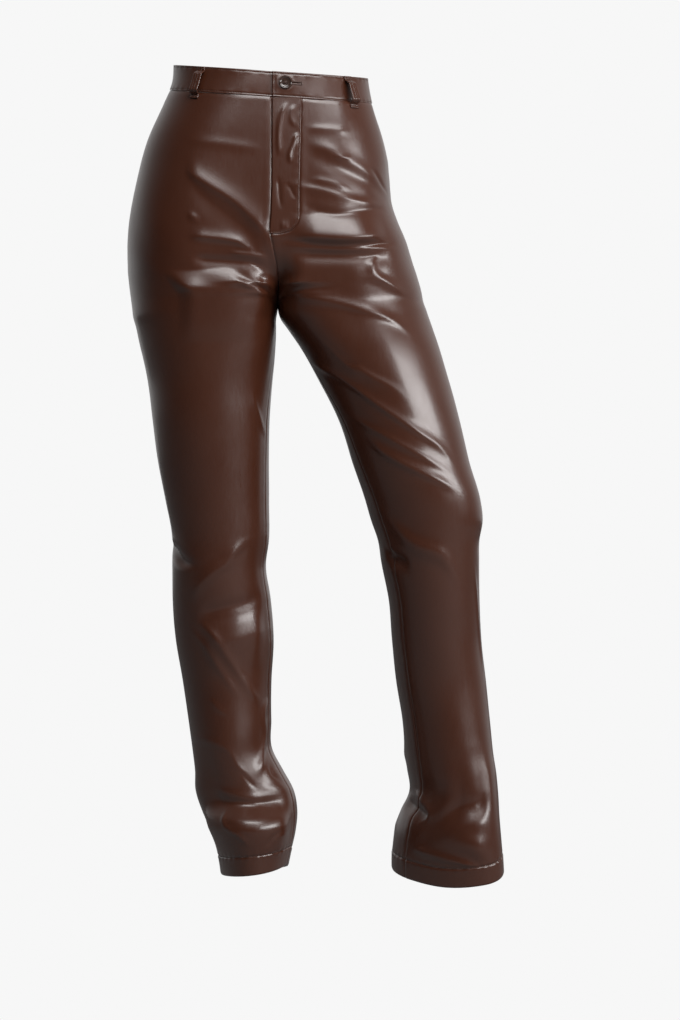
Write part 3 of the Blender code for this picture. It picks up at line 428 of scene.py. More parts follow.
@dataclass
class Form:
    """The worn shape of one half of the trousers, folds and all."""

    side: Side
    sections: tuple[Section, ...]
    hem: tuple[HemPoint, ...]
    folds: tuple[Fold, ...]
    front_rise_curve: float = 82.0
    back_rise_curve: float = 105.0
    crest_at_waist: float = 0.2
    crest_at_crotch: float = 0.5
    dip_forward: float = 0.15
    dip_left: float = 0.068
    sway_width: float = 42.0
    inner_fullness: float = 0.12
    fullness_rise: float = 60.0
    fullness_depth: float = 135.0
    crest_softness: float = 0.22
    softness_fade: float = 100.0
    front_turn_under: float = 22.0
    back_turn_under: float = 47.0
    bend_rate: float = 1.6
    hip_cloth: float = 0.41
    seam_reach: float = 0.9
    rise_steps: int = 400
    # How round the edges and the feet of the folds with flat sides are.
    flat_softness: float = 0.14
    flat_foot: float = 0.004
    # Folds that start nearer the inseam than this run on behind it.
    inseam_folds: float = 0.5
    # How the folds calm down beside the centre seams above the crotch.
    crotch_blend: float = 30.0
    calm_by_seam: float = 6.0
    # The ripples' lengths: down, how that sways, round the leg, how that sways, and slantwise.
    ripple_waves: tuple[float, ...] = (23.0, 31.0, 19.0, 41.0, 37.0)
    # The heights of the crossed ripples and of the slanting ones.
    ripple_heights: tuple[float, float] = (0.22, 0.3)
    # The steps of across and of drop that slopes and outward directions are measured over.
    path_step: float = 0.02
    path_drop_step: float = 2.0
    level_step: float = 0.004
    normal_step: float = 0.006
    normal_drop_step: float = 0.8
    highest_drop: float = -40.0
    _table: dict[str, list[float]] = field(init=False, repr=False)
    _rise: dict[bool, tuple[np.ndarray, np.ndarray]] = field(init=False, repr=False)

    def __post_init__(self) -> None:
        """Turns the sections into columns and measures the two centre seams."""
        names = ("drop", "inner", "outer", "front", "back", "turn", "skew")
        self._table = {name: [getattr(s, name) for s in self.sections] for name in names}
        self._rise = {front: self._measure_rise(front) for front in (True, False)}

    def size(self, name: str, drop: np.ndarray) -> np.ndarray:
        """Returns one of the sections' sizes at a drop."""
        return smooth(self._table["drop"], self._table[name], drop)

    def middle(self, drop: np.ndarray) -> np.ndarray:
        """Returns how far behind the origin the middle of the section lies."""
        return (self.size("back", drop) - self.size("front", drop)) / 2

    def _reach(self, drop: np.ndarray) -> np.ndarray:
        """Returns half the depth of the section."""
        return (self.size("back", drop) + self.size("front", drop)) / 2

    def _under(self, drop: np.ndarray, front: Any) -> np.ndarray:
        """Returns how far the centre seam has turned under: 0 above its curve, 1 at the crotch."""
        curve = np.where(front, self.front_rise_curve, self.back_rise_curve)
        share = np.clip((CROTCH_DROP - drop) / curve, 0.0, 1.0)
        return 1 - np.sqrt(np.clip(1 - (1 - share) ** 2, 0.0, 1.0))

    def _measure_rise(self, front: bool) -> tuple[np.ndarray, np.ndarray]:
        """Returns lengths along a centre seam, and the drops that they reach."""
        drop = np.linspace(0.0, 1.0, self.rise_steps) ** 0.5 * CROTCH_DROP
        reach = self.size("front" if front else "back", drop)
        depth = reach - self._under(drop, front) * (reach - abs(self.middle(drop)))
        length = np.concatenate([[0.0], np.cumsum(np.hypot(np.diff(drop), np.diff(depth)))])
        return length, drop

    def _hip(self, drop: np.ndarray, across: np.ndarray) -> tuple[np.ndarray, np.ndarray]:
        """Finds the points of the half section above the crotch.

        Args:
            drop: The drops.
            across: The places across.

        Returns:
            Their x, from the centre plane, and their y.
        """
        front = across <= SIDE_SEAM
        place = np.where(front, across, CENTRE_BACK - across)
        outer, reach = self.size("outer", drop), self._reach(drop)
        lower = ease(drop / CROTCH_DROP) ** 2
        crest = outer * (self.crest_at_waist + (self.crest_at_crotch - self.crest_at_waist) * lower)
        under = self._under(drop, front)
        bend = ease(under * self.bend_rate)
        inward = crest * (1 - bend + bend * QUARTER_TURN)
        split = SIDE_SEAM * inward / (inward + (outer - crest) * QUARTER_TURN)
        near = np.minimum(place / split, 1) * QUARTER_TURN
        far = np.clip((place - split) / (SIDE_SEAM - split), 0, 1) * QUARTER_TURN
        above = CROTCH_DROP - drop
        fullness = self.inner_fullness * ease(1 - above / self.fullness_rise)
        full = 1 + fullness * np.sin(2 * near) ** 2
        x_near = crest * (bend * (1 - full * np.cos(near)) + (1 - bend) * near / QUARTER_TURN)
        lobe = bend * full * np.sin(near) + (1 - bend) * (1 - np.cos(2 * near)) / 2
        turn_under = np.where(front, self.front_turn_under, self.back_turn_under)
        soft = ease(1 - above / turn_under)
        under = under + (soft - under) * ease(near / (QUARTER_TURN / 2))
        inside = place < split
        x = np.where(inside, x_near, crest + (outer - crest) * np.sin(far))
        fade = ease(drop / self.softness_fade) * ease(above / self.softness_fade)
        slow = self.crest_softness * fade
        flank = (np.hypot(far, slow) - slow) / (np.hypot(QUARTER_TURN, slow) - slow) * QUARTER_TURN
        y = reach * np.where(inside, (1 - under) + under * lobe, np.cos(flank))
        return x, self.middle(drop) + np.where(front, -y, y)

    def _leg(self, drop: np.ndarray, across: np.ndarray) -> tuple[np.ndarray, np.ndarray]:
        """Finds the points of the leg's closed section.

        Args:
            drop: The drops.
            across: The places across.

        Returns:
            Their x, from the centre plane, and their y.
        """
        inner, outer = self.size("inner", drop), self.size("outer", drop)
        skew = np.radians(self.size("skew", drop))
        angle = across * QUARTER_TURN + np.radians(self.size("turn", drop))
        fullness = self.inner_fullness * (1 - ease((drop - CROTCH_DROP) / self.fullness_depth))
        full = 1 + fullness * np.sin(2 * angle) ** 2 * (np.cos(angle) > 0)
        x = (inner + outer) / 2 - (outer - inner) / 2 * full * np.cos(angle)
        return x, self.middle(drop) - self._reach(drop) * full * np.sin(angle - skew)

    def section(self, drop: Any, across: Any) -> np.ndarray:
        """Finds points of the smooth shape.

        Args:
            drop: The drops.
            across: The places across.

        Returns:
            The points, in millimetres.
        """
        drop, across = np.broadcast_arrays(np.asarray(drop, float), np.asarray(across, float))
        hip, leg = self._hip(drop, across), self._leg(drop, across)
        x, y = (np.where(drop < CROTCH_DROP, h, g) for h, g in zip(hip, leg))
        sway = self._sway(drop) * bell(x, self.sway_width) * (np.abs(across - SIDE_SEAM) > 1)
        return np.stack([self.side.value * (x + SEAM_GAP / 2) + sway, y, -drop], axis=-1)

    def _sway(self, drop: np.ndarray) -> np.ndarray:
        """Returns how far the pull of the stance moves the centre seam to the wearer's left."""
        drops, shifts = zip(*SEAM_SWAY)
        return smooth(drops, shifts, drop)

    def across_length(self, drop: Any) -> np.ndarray:
        """Returns the millimetres of cloth to each unit of across."""
        reach = self._reach(drop)
        width = (self.size("outer", drop) - self.size("inner", drop)) / 2
        leg = QUARTER_TURN / 2 * (width + reach)
        hip = self.hip_cloth * (self.size("outer", drop) + reach)
        return hip + (leg - hip) * ease((drop - CROTCH_DROP) / self.front_rise_curve + 1)

    def waist_drop(self, across: Any, below: Any) -> np.ndarray:
        """Returns the drop of the line round the waist that is `below` the band's middle."""
        flat = self.section(below, across)
        return below + self.dip_left * flat[..., 0] - self.dip_forward * flat[..., 1]

    def hem_drop(self, across: np.ndarray) -> np.ndarray:
        """Returns how low the hem hangs."""
        return smooth([p.across for p in self.hem], [p.drop for p in self.hem], across)

    def drop(self, down: Any, across: Any) -> np.ndarray:
        """Finds the drop of places on a panel.

        Args:
            down: 0 at the waist seam, 1 level with the crotch and 2 at the hem.
            across: The place across. Near the centre seam the rows follow the seam's curve.

        Returns:
            The drops.
        """
        down, across = np.broadcast_arrays(np.asarray(down, float), np.asarray(across, float))
        waist = self.waist_drop(across, WAIST_SEAM)
        upper, lower = np.clip(down, 0, 1), np.clip(down - 1, 0, 1)
        straight = waist + (CROTCH_DROP - waist) * upper
        seam = np.empty_like(straight)
        for front, (length, drops) in self._rise.items():
            start = np.interp(waist, drops, length)
            along = start + (length[-1] - start) * upper
            on_this = (across <= SIDE_SEAM) == front
            seam = np.where(on_this, np.interp(along, length, drops), seam)
        near = np.minimum(across, CENTRE_BACK - across)
        hip = seam + (straight - seam) * ease(near / self.seam_reach)
        return hip + (self.hem_drop(across) - CROTCH_DROP) * lower

    def _fold(
        self, fold: Fold, drop: np.ndarray, across: np.ndarray, length: np.ndarray
    ) -> np.ndarray:
        """Finds the height of one fold over the points.

        Args:
            fold: The fold.
            drop: The drops.
            across: The places across.
            length: The millimetres to each unit of across.

        Returns:
            The heights.
        """
        first, second = [p[0] for p in fold.path], [p[1] for p in fold.path]
        if fold.run is Run.ACROSS:
            knots, along, middle = first, across, smooth(first, second, across)
            slope = smooth(first, second, across + self.path_step) - middle
            slope = slope / (self.path_step * length)
            off = drop - middle
        else:
            knots, along, middle = second, drop, smooth(second, first, drop)
            slope = smooth(second, first, drop + self.path_drop_step) - middle
            slope = slope * length / self.path_drop_step
            off = (across - middle) * length
        away = off / np.sqrt(1 + slope * slope)
        width = np.where(away < 0, fold.upper, fold.lower)
        share = (along - knots[0]) / (knots[-1] - knots[0])
        ends = ease(share / fold.fade) * ease((1 - share) / fold.fade)
        if fold.crisp == FLAT:
            rise = 1 + self.flat_softness - np.sqrt((away / width) ** 2 + self.flat_softness**2)
            return fold.height * (rise + np.sqrt(rise**2 + self.flat_foot)) / 2 * ends
        return fold.height * np.exp(-(np.abs(away / width) ** fold.crisp)) * ends

    def relief(self, drop: np.ndarray, across: np.ndarray) -> np.ndarray:
        """Finds how far the folds lift the cloth outward.

        Args:
            drop: The drops.
            across: The places across.

        Returns:
            The lifts, in millimetres.
        """
        length = self.across_length(drop)
        lift = self._ripple(drop, across * length)
        for fold in self.folds:
            lift = lift + self._fold(fold, drop, across, length)
            if fold.path[0][0] < self.inseam_folds and drop.max() > CROTCH_DROP:
                behind = self._fold(fold, drop, across - CENTRE_BACK, length)
                lift = lift + behind * (drop > CROTCH_DROP)
        near = np.minimum(across, CENTRE_BACK - across) * length
        below = ease((drop - CROTCH_DROP) / self.crotch_blend)
        return lift * (below + (1 - below) * ease(near / self.calm_by_seam))

    def _ripple(self, drop: np.ndarray, along: np.ndarray) -> np.ndarray:
        """Returns the slight unevenness that the cloth has everywhere."""
        phase = 1.7 if self.side is Side.LEFT else 0.4
        down, down_sway, around, around_sway, slantwise = self.ripple_waves
        wave = np.sin(drop / down + 0.9 * np.sin(along / down_sway + phase) + phase)
        cross = np.sin(along / around + 1.1 * np.sin(drop / around_sway + 2 * phase))
        slant = np.sin((drop + 0.7 * along) / slantwise + phase)
        crossed_height, slant_height = self.ripple_heights
        return crossed_height * wave * cross + slant_height * slant * cross

    def level_normal(self, drop: np.ndarray, across: np.ndarray) -> np.ndarray:
        """Returns the level outward direction of the smooth shape."""
        step = self.level_step
        along = self.section(drop, across + step) - self.section(drop, across - step)
        outward = np.stack([-along[..., 1], along[..., 0], np.zeros_like(drop)], axis=-1)
        return unit(outward) * -self.side.value

    def point(self, drop: Any, across: Any, extra: Any = 0.0) -> np.ndarray:
        """Finds points of the outer face.

        Args:
            drop: The drops.
            across: The places across.
            extra: What is added to the lift of the folds.

        Returns:
            The points, in millimetres.
        """
        drop, across = np.broadcast_arrays(np.asarray(drop, float), np.asarray(across, float))
        lift = (self.relief(drop, across) + extra)[..., None]
        return self.section(drop, across) + self.level_normal(drop, across) * lift

    def normal(self, drop: Any, across: Any) -> np.ndarray:
        """Finds the outward direction of the folded cloth.

        Args:
            drop: The drops.
            across: The places across.

        Returns:
            The directions, at length 1.
        """
        drop, across = np.broadcast_arrays(np.asarray(drop, float), np.asarray(across, float))
        step, drop_step = self.normal_step, self.normal_drop_step
        above = np.maximum(drop - drop_step, self.highest_drop)
        along = self.point(drop, across + step) - self.point(drop, across - step)
        fall = self.point(drop + drop_step, across) - self.point(above, across)
        return unit(np.cross(along, fall)) * -self.side.value

    def from_centre(self, drop: Any, across: Any) -> np.ndarray:
        """Returns how many millimetres from the centre a place across is, near the centre."""
        return across * np.abs(self.section(drop, NEAR_CENTRE)[..., 0]) / NEAR_CENTRE

    def across_at(self, drop: Any, width: Any) -> np.ndarray:
        """Returns how far across the front a distance from the centre seam is."""
        return NEAR_CENTRE * np.asarray(width) / np.abs(self.section(drop, NEAR_CENTRE)[..., 0])


class Signal:
    """A shader socket that Python's operators combine into Math nodes."""

    def __init__(self, graph: Graph, socket: bpy.types.NodeSocket) -> None:
        """Wraps an output socket of a graph."""
        self.graph = graph
        self.socket = socket

    def _math(self, operation: str, first: Any, second: Any) -> Signal:
        """Returns the result of a Math node on two values."""
        node = self.graph.node("ShaderNodeMath", {"operation": operation}, {0: first, 1: second})
        return Signal(self.graph, node.outputs[0])

    def __add__(self, other: Any) -> Signal:
        """Returns the sum."""
        return self._math("ADD", self, other)

    def __radd__(self, other: Any) -> Signal:
        """Returns the sum."""
        return self._math("ADD", other, self)

    def __sub__(self, other: Any) -> Signal:
        """Returns the difference."""
        return self._math("SUBTRACT", self, other)

    def __mul__(self, other: Any) -> Signal:
        """Returns the product."""
        return self._math("MULTIPLY", self, other)

    def __truediv__(self, other: Any) -> Signal:
        """Returns the quotient."""
        return self._math("DIVIDE", self, other)

    def clamp(self) -> Signal:
        """Returns the value held between 0 and 1."""
        node = self.graph.node("ShaderNodeClamp", {}, {"Value": self})
        return Signal(self.graph, node.outputs[0])


class Graph:
    """The node tree of a material or a world, and the ways to add to it."""

    def __init__(self, tree: bpy.types.NodeTree) -> None:
        """Takes a tree and empties it."""
        self.tree = tree
        tree.nodes.clear()

    def node(self, kind: str, settings: dict[str, Any], inputs: dict[Any, Any]) -> bpy.types.Node:
        """Adds a node.

        Args:
            kind: The node's type.
            settings: Its settings.
            inputs: Values, signals or sockets for its inputs, by name or number.

        Returns:
            The node.
        """
        made = self.tree.nodes.new(kind)
        for name, value in settings.items():
            setattr(made, name, value)
        for name, value in inputs.items():
            target = made.inputs[name]
            if isinstance(value, Signal):
                value = value.socket
            if isinstance(value, bpy.types.NodeSocket):
                self.tree.links.new(value, target)
            else:
                target.default_value = value
        return made

    def signal(
        self, kind: str, settings: dict[str, Any], inputs: dict[Any, Any], out: Any = 0
    ) -> Signal:
        """Adds a node and returns one of its outputs as a signal."""
        return Signal(self, self.node(kind, settings, inputs).outputs[out])

    def noise(
        self, vector: Signal, scale: float, detail: float = 3.0, rough: float = 0.5
    ) -> Signal:
        """Returns a noise from 0 to 1, with its features 1/scale metres wide."""
        inputs = {"Vector": vector, "Scale": scale, "Detail": detail, "Roughness": rough}
        return self.signal("ShaderNodeTexNoise", {}, inputs, "Fac")

    def stretched(self, vector: Signal, scale: tuple[float, float, float]) -> Signal:
        """Returns coordinates scaled differently along each axis."""
        return self.signal("ShaderNodeMapping", {}, {"Vector": vector, "Scale": scale})

    def blend(self, factor: Any, first: Any, second: Any) -> Signal:
        """Returns a colour from first to second as the factor goes from 0 to 1."""
        inputs = {0: factor, 6: first, 7: second}
        return self.signal("ShaderNodeMix", {"data_type": "RGBA"}, inputs, 2)

    def place(self) -> Signal:
        """Returns each point's place on its object, in metres."""
        return self.signal("ShaderNodeTexCoord", {}, {}, "Object")

    def bump(
        self, height: Signal, depth: float, over: bpy.types.NodeSocket | None = None
    ) -> bpy.types.NodeSocket:
        """Adds a relief.

        Args:
            height: The relief, from 0 to 1.
            depth: How many metres 1 is.
            over: The normal that it is laid over, if any.

        Returns:
            The normal.
        """
        inputs: dict[Any, Any] = {"Height": height, "Distance": depth}
        if over is not None:
            inputs["Normal"] = over
        return self.node("ShaderNodeBump", {}, inputs).outputs[0]

    def finish(self, inputs: dict[Any, Any]) -> None:
        """Ends a material with its surface shader, which takes the inputs."""
        shader = self.node("ShaderNodeBsdfPrincipled", {}, inputs)
        self.node("ShaderNodeOutputMaterial", {}, {"Surface": shader.outputs[0]})

    def pale(self, kind: str, lit: bpy.types.Node, output: str) -> None:
        """Ends a backdrop: pale to look at, and lit by its own shader otherwise.

        Args:
            kind: The type of the pale shader's node.
            lit: The node whose shader the light meets.
            output: The type of the output's node.
        """
        seen = self.node(kind, {}, {"Color": (*PALE, 1), "Strength": 1.0})
        camera_ray = self.signal("ShaderNodeLightPath", {}, {}, "Is Camera Ray")
        inputs = {0: camera_ray, 1: lit.outputs[0], 2: seen.outputs[0]}
        mixed = self.node("ShaderNodeMixShader", {}, inputs)
        self.node(output, {}, {"Surface": mixed.outputs[0]})


def new_material(name: str) -> tuple[bpy.types.Material, Graph]:
    """Returns a new material and its empty graph."""
    material = bpy.data.materials.new(name)
    material.use_nodes = True
    return material, Graph(material.node_tree)


@dataclass(frozen=True)
class FauxLeather:
    """A smooth coated cloth with a soft gloss, a fine grain and faint cross streaks."""

    name: str = "faux_leather"
    colour: tuple[float, ...] = (0.044, 0.0112, 0.0043, 1.0)
    worn: tuple[float, ...] = (0.055, 0.0158, 0.0070, 1.0)
    roughness: float = 0.33
    wear_spread: float = 0.16
    patch_spread: float = 0.10
    patch_scale: float = 9.0
    grain_scale: float = 1400.0
    grain_depth: float = 0.00004
    streak_scale: tuple[float, float, float] = (850.0, 850.0, 90.0)
    streak_depth: float = 0.00005
    wear_scale: tuple[float, float, float] = (420.0, 420.0, 50.0)

    def material(self) -> bpy.types.Material:
        """Returns the material."""
        material, graph = new_material(self.name)
        place = graph.place()
        patches = graph.noise(place, self.patch_scale, 2.0)
        tint = graph.blend(patches, self.colour, self.worn)
        grain = graph.noise(place, self.grain_scale, 2.0, 0.6)
        streaks = graph.noise(graph.stretched(place, self.streak_scale), 1.0, 2.0, 0.5)
        wear = graph.noise(graph.stretched(place, self.wear_scale), 1.0, 3.0, 0.6)
        rough = self.roughness + (wear - 0.5) * self.wear_spread
        fine = graph.bump(grain, self.grain_depth)
        graph.finish(
            {
                "Base Color": tint,
                "Roughness": rough + (patches - 0.5) * self.patch_spread,
                "Normal": graph.bump(streaks, self.streak_depth, fine),
                "IOR": 1.5,
                "Coat Weight": 0.2,
                "Coat Roughness": 0.16,
            }
        )
        return material


@dataclass(frozen=True)
class Backing:
    """The brushed knit that the coating is laid on, which shows on the inside."""

    name: str = "cloth_backing"
    colour: tuple[float, ...] = (0.05, 0.03, 0.022, 1.0)
    light: tuple[float, ...] = (0.085, 0.055, 0.042, 1.0)
    fuzz_scale: float = 700.0
    row_scale: float = 250.0
    depth: float = 0.0004

    def material(self) -> bpy.types.Material:
        """Returns the material."""
        material, graph = new_material(self.name)
        place = graph.place()
        fuzz = graph.noise(place, self.fuzz_scale, 4.0, 0.7)
        rows = graph.signal(
            "ShaderNodeTexWave",
            {"wave_type": "BANDS", "bands_direction": "Z"},
            {"Vector": place, "Scale": self.row_scale, "Distortion": 1.5},
            "Fac",
        )
        height = fuzz * 0.6 + rows * 0.4
        graph.finish(
            {
                "Base Color": graph.blend(height, self.colour, self.light),
                "Roughness": 0.9,
                "Normal": graph.bump(height, self.depth),
                "Sheen Weight": 0.3,
            }
        )
        return material


@dataclass(frozen=True)
class PlainFinish:
    """A finish of one colour with a fine unevenness, for thread, plastic and tape."""

    name: str
    colour: tuple[float, ...]
    light: tuple[float, ...]
    roughness: float
    grain: float
    depth: float
    coat: float = 0.0
    rough_spread: float = 0.15

    def material(self) -> bpy.types.Material:
        """Returns the material."""
        material, graph = new_material(self.name)
        grain = graph.noise(graph.place(), self.grain, 3.0, 0.6)
        normal = graph.bump(grain, self.depth)
        graph.finish(
            {
                "Base Color": graph.blend(grain, self.colour, self.light),
                "Roughness": self.roughness + (grain - 0.5) * self.rough_spread,
                "Normal": normal,
                "Coat Weight": self.coat,
            }
        )
        return material


THREAD = PlainFinish(
    name="thread",
    colour=(0.040, 0.017, 0.012, 1),
    light=(0.075, 0.036, 0.026, 1),
    roughness=0.5,
    grain=3000.0,
    depth=0.0001,
)
BUTTON_PLASTIC = PlainFinish(
    name="button_plastic",
    colour=(0.022, 0.011, 0.008, 1),
    light=(0.05, 0.027, 0.02, 1),
    roughness=0.2,
    grain=160.0,
    depth=0.00002,
    coat=0.5,
)
ZIP_TAPE = PlainFinish(
    name="zip_tape",
    colour=(0.022, 0.012, 0.009, 1),
    light=(0.045, 0.026, 0.02, 1),
    roughness=0.75,
    grain=1500.0,
    depth=0.0003,
)
DARK_METAL = PlainFinish(
    name="dark_metal",
    colour=(0.03, 0.025, 0.022, 1),
    light=(0.05, 0.042, 0.036, 1),
    roughness=0.35,
    grain=400.0,
    depth=0.00002,
)


@dataclass(frozen=True)
class Palette:
    """The finishes of the trousers, made once."""

    leather: bpy.types.Material
    backing: bpy.types.Material
    thread: bpy.types.Material
    button: bpy.types.Material
    tape: bpy.types.Material
    metal: bpy.types.Material

    @classmethod
    def make(cls) -> Palette:
        """Returns the palette with its materials made."""
        return cls(
            leather=FauxLeather().material(),
            backing=Backing().material(),
            thread=THREAD.material(),
            button=BUTTON_PLASTIC.material(),
            tape=ZIP_TAPE.material(),
            metal=DARK_METAL.material(),
        )


def make_object(
    name: str,
    points: np.ndarray,
    faces: Sequence[Sequence[int]],
    materials: Sequence[bpy.types.Material],
    indices: np.ndarray | None = None,
    sharp: float = 60.0,
) -> bpy.types.Object:
    """Makes an object from points in millimetres.

    Args:
        name: The object's name.
        points: An array of points, one to a row.
        faces: The corner numbers of each face.
        materials: The materials of the object's slots.
        indices: Each face's slot, or None for the first.
        sharp: Edges bent more than this many degrees are shaded sharp.

    Returns:
        The object, linked to the scene.
    """
    mesh = bpy.data.meshes.new(name)
    mesh.from_pydata((points * MM).tolist(), [], [list(face) for face in faces])
    for material in materials:
        mesh.materials.append(material)
    if indices is not None:
        mesh.polygons.foreach_set("material_index", indices.astype(np.int32))
    mesh.shade_smooth()
    mesh.set_sharp_from_angle(angle=math.radians(sharp))
    mesh.update()
    made = bpy.data.objects.new(name, mesh)
    bpy.context.scene.collection.objects.link(made)
    return made


def grid_faces(rows: int, columns: int, start: int, flip: bool) -> np.ndarray:
    """Finds the faces of a grid of points.

    Args:
        rows: The rows of points.
        columns: The columns of points.
        start: The number of the first point.
        flip: Whether the faces are turned over.

    Returns:
        The faces, as rows of four points.
    """
    i, j = np.meshgrid(np.arange(rows - 1), np.arange(columns - 1), indexing="ij")
    corner = (start + i * columns + j).ravel()
    quads = np.stack([corner, corner + 1, corner + columns + 1, corner + columns], axis=1)
    return quads[:, ::-1] if flip else quads


def wall(
    name: str,
    outer: np.ndarray,
    inner: np.ndarray,
    materials: Sequence[bpy.types.Material],
    flip: bool,
) -> bpy.types.Object:
    """Makes a closed wall between two grids of points.

    Args:
        name: The object's name.
        outer: The outer grid of points, in millimetres.
        inner: The inner grid, with the same rows and columns.
        materials: The outer face's material, then the inner face's if it has its own.
        flip: Whether the outer grid's faces are turned over to face outward.

    Returns:
        The object.
    """
    rows, columns = outer.shape[:2]
    count = rows * columns
    points = np.concatenate([outer.reshape(-1, 3), inner.reshape(-1, 3)])
    edge = [(0, j) for j in range(columns)] + [(i, columns - 1) for i in range(1, rows)]
    edge += [(rows - 1, j) for j in range(columns - 2, -1, -1)]
    edge += [(i, 0) for i in range(rows - 2, 0, -1)]
    numbers = np.array([i * columns + j for i, j in edge])
    after = np.roll(numbers, -1)
    border = np.stack([after, numbers, numbers + count, after + count], axis=1)
    border = border[:, ::-1] if flip else border
    parts = [grid_faces(rows, columns, 0, flip), border, grid_faces(rows, columns, count, not flip)]
    inside = np.full(len(parts[2]), 1 if len(materials) > 1 else 0)
    indices = np.concatenate([np.zeros(len(parts[0]) + len(border)), inside])
    return make_object(name, points, np.concatenate(parts), materials, indices)


def ride(made: bpy.types.Object, slot: str, *nodes: str) -> bpy.types.Object:
    """Puts a piece on the body.

    Args:
        made: The piece.
        slot: Its material slot. It is not used.
        *nodes: The nodes that it stands for.

    Returns:
        The piece.
    """
    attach(made, BODY)
    if nodes:
        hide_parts(*nodes)
    LOG.info("%s: %d faces", made.name, len(made.data.polygons))
    return made


def cut(made: bpy.types.Object, cutters: Iterable[bpy.types.Object]) -> None:
    """Takes the cutters' shapes out of an object, then removes the cutters."""
    cutters = list(cutters)
    for cutter in cutters:
        modifier = made.modifiers.new("cut", "BOOLEAN")
        modifier.operation, modifier.solver, modifier.object = "DIFFERENCE", "EXACT", cutter
    bpy.context.view_layer.update()
    evaluated = made.evaluated_get(bpy.context.evaluated_depsgraph_get())
    mesh = bpy.data.meshes.new_from_object(evaluated)
    made.modifiers.clear()
    made.data = mesh
    for cutter in cutters:
        bpy.data.objects.remove(cutter)


@dataclass
class Stitching:
    """Lines of short thread stitches that lie on the cloth.

    The profile's rows are a share of a stitch's length, and its width and lift there.
    """

    name: str
    thread: bpy.types.Material
    length: float = 2.6
    gap: float = 0.7
    radius: float = 0.28
    sides: int = 6
    profile: tuple[tuple[float, float, float], ...] = (
        (0.0, 0.3, -0.3),
        (0.14, 0.85, 0.1),
        (0.5, 1.0, 0.3),
        (0.86, 0.85, 0.1),
        (1.0, 0.3, -0.3),
    )
    _points: list[np.ndarray] = field(default_factory=list, repr=False)
    _faces: list[np.ndarray] = field(default_factory=list, repr=False)
    _count: int = 0

    def along(self, path: np.ndarray, outward: np.ndarray) -> None:
        """Adds a row of stitches along a path.

        Args:
            path: Points of the path, in millimetres, closely spaced.
            outward: The cloth's outward direction at each point.
        """
        steps = np.linalg.norm(np.diff(path, axis=0), axis=1)
        travelled = np.concatenate([[0.0], np.cumsum(steps)])
        pitch = self.length + self.gap
        starts = np.arange(self.gap / 2, travelled[-1] - self.length, pitch)
        for start in starts:
            ends = [start, start + self.length]
            a, b = (np.array([np.interp(e, travelled, path[:, k]) for k in range(3)]) for e in ends)
            n = np.array([np.interp(start, travelled, outward[:, k]) for k in range(3)])
            self.bar(a, b, n)

    def bar(self, a: np.ndarray, b: np.ndarray, outward: np.ndarray) -> None:
        """Adds one stitch, bowed outward a little.

        Args:
            a: Where it starts.
            b: Where it ends.
            outward: The cloth's outward direction.
        """
        t = unit(b - a)
        n = unit(outward - t * (outward @ t))
        s = np.cross(t, n)
        turns = np.arange(self.sides) / self.sides * 2 * math.pi
        ring = np.cos(turns)[:, None] * n + np.sin(turns)[:, None] * s
        rows = len(self.profile)
        points = [
            a + (b - a) * share + (n * lift * 2 + ring * width) * self.radius
            for share, width, lift in self.profile
        ]
        base = self._count
        faces = []
        for r in range(rows - 1):
            for k in range(self.sides):
                m = (k + 1) % self.sides
                low, high = base + r * self.sides, base + (r + 1) * self.sides
                faces.append([low + k, low + m, high + m, high + k])
        last = base + (rows - 1) * self.sides
        half = self.sides // 2
        for start, flip in ((base, True), (last, False)):
            for k in range(half - 1):
                across = start + self.sides - 1 - k
                quad = [start + k, start + k + 1, across - 1, across]
                faces.append(quad[::-1] if flip else quad)
        self._points.append(np.concatenate(points))
        self._faces.append(np.array(faces))
        self._count += rows * self.sides

    def build(self, slot: str = "faux_leather") -> bpy.types.Object:
        """Returns all the stitches as one object."""
        made = make_object(
            self.name, np.concatenate(self._points), np.concatenate(self._faces), [self.thread]
        )
        return ride(made, slot)


@dataclass(frozen=True)
class Place:
    """A flat spot on the waistband: x along it to the wearer's left, y upward and z outward."""

    origin: np.ndarray
    x: np.ndarray
    y: np.ndarray
    z: np.ndarray

    @classmethod
    def facing(cls, origin: np.ndarray, outward: np.ndarray) -> Place:
        """Returns the place at an origin that faces outward."""
        z = unit(np.asarray(outward, float))
        x = unit(np.cross(np.array([0.0, 0.0, 1.0]), z))
        return cls(np.asarray(origin, float), x, np.cross(z, x), z)

    def points(self, local: np.ndarray) -> np.ndarray:
        """Returns points given as rows of (x, y, z) in the place's own directions."""
        return self.origin + local @ np.stack([self.x, self.y, self.z])


def circle(x: float, y: float, radius: float, steps: int) -> np.ndarray:
    """Returns a circle as rows of (x, y), counter-clockwise."""
    turns = 2 * math.pi * (np.arange(steps) + 0.5) / steps
    return np.stack([x + radius * np.cos(turns), y + radius * np.sin(turns)], axis=1)


def lofted(
    name: str,
    place: Place,
    rings: Sequence[np.ndarray],
    heights: Sequence[float],
    material: bpy.types.Material,
) -> bpy.types.Object:
    """Makes a solid through rings of points.

    Args:
        name: The object's name.
        place: The place whose x and y the rings are in.
        rings: Outlines with the same number of points, counter-clockwise, from the bottom up.
        heights: The height of each ring.
        material: The solid's material.

    Returns:
        The solid, closed at both ends.
    """
    steps = len(rings[0])
    levels = [np.column_stack([ring, np.full(steps, high)]) for ring, high in zip(rings, heights)]
    points = np.concatenate(levels)
    around = np.arange(steps)
    after = np.roll(around, -1)
    sides = [
        np.stack([around, after, after + steps, around + steps], axis=1) + level * steps
        for level in range(len(rings) - 1)
    ]
    last = (len(rings) - 1) * steps
    faces = np.concatenate(sides).tolist()
    faces += [list(range(steps))[::-1], list(range(last, last + steps))]
    return make_object(name, place.points(points), faces, [material], sharp=40.0)


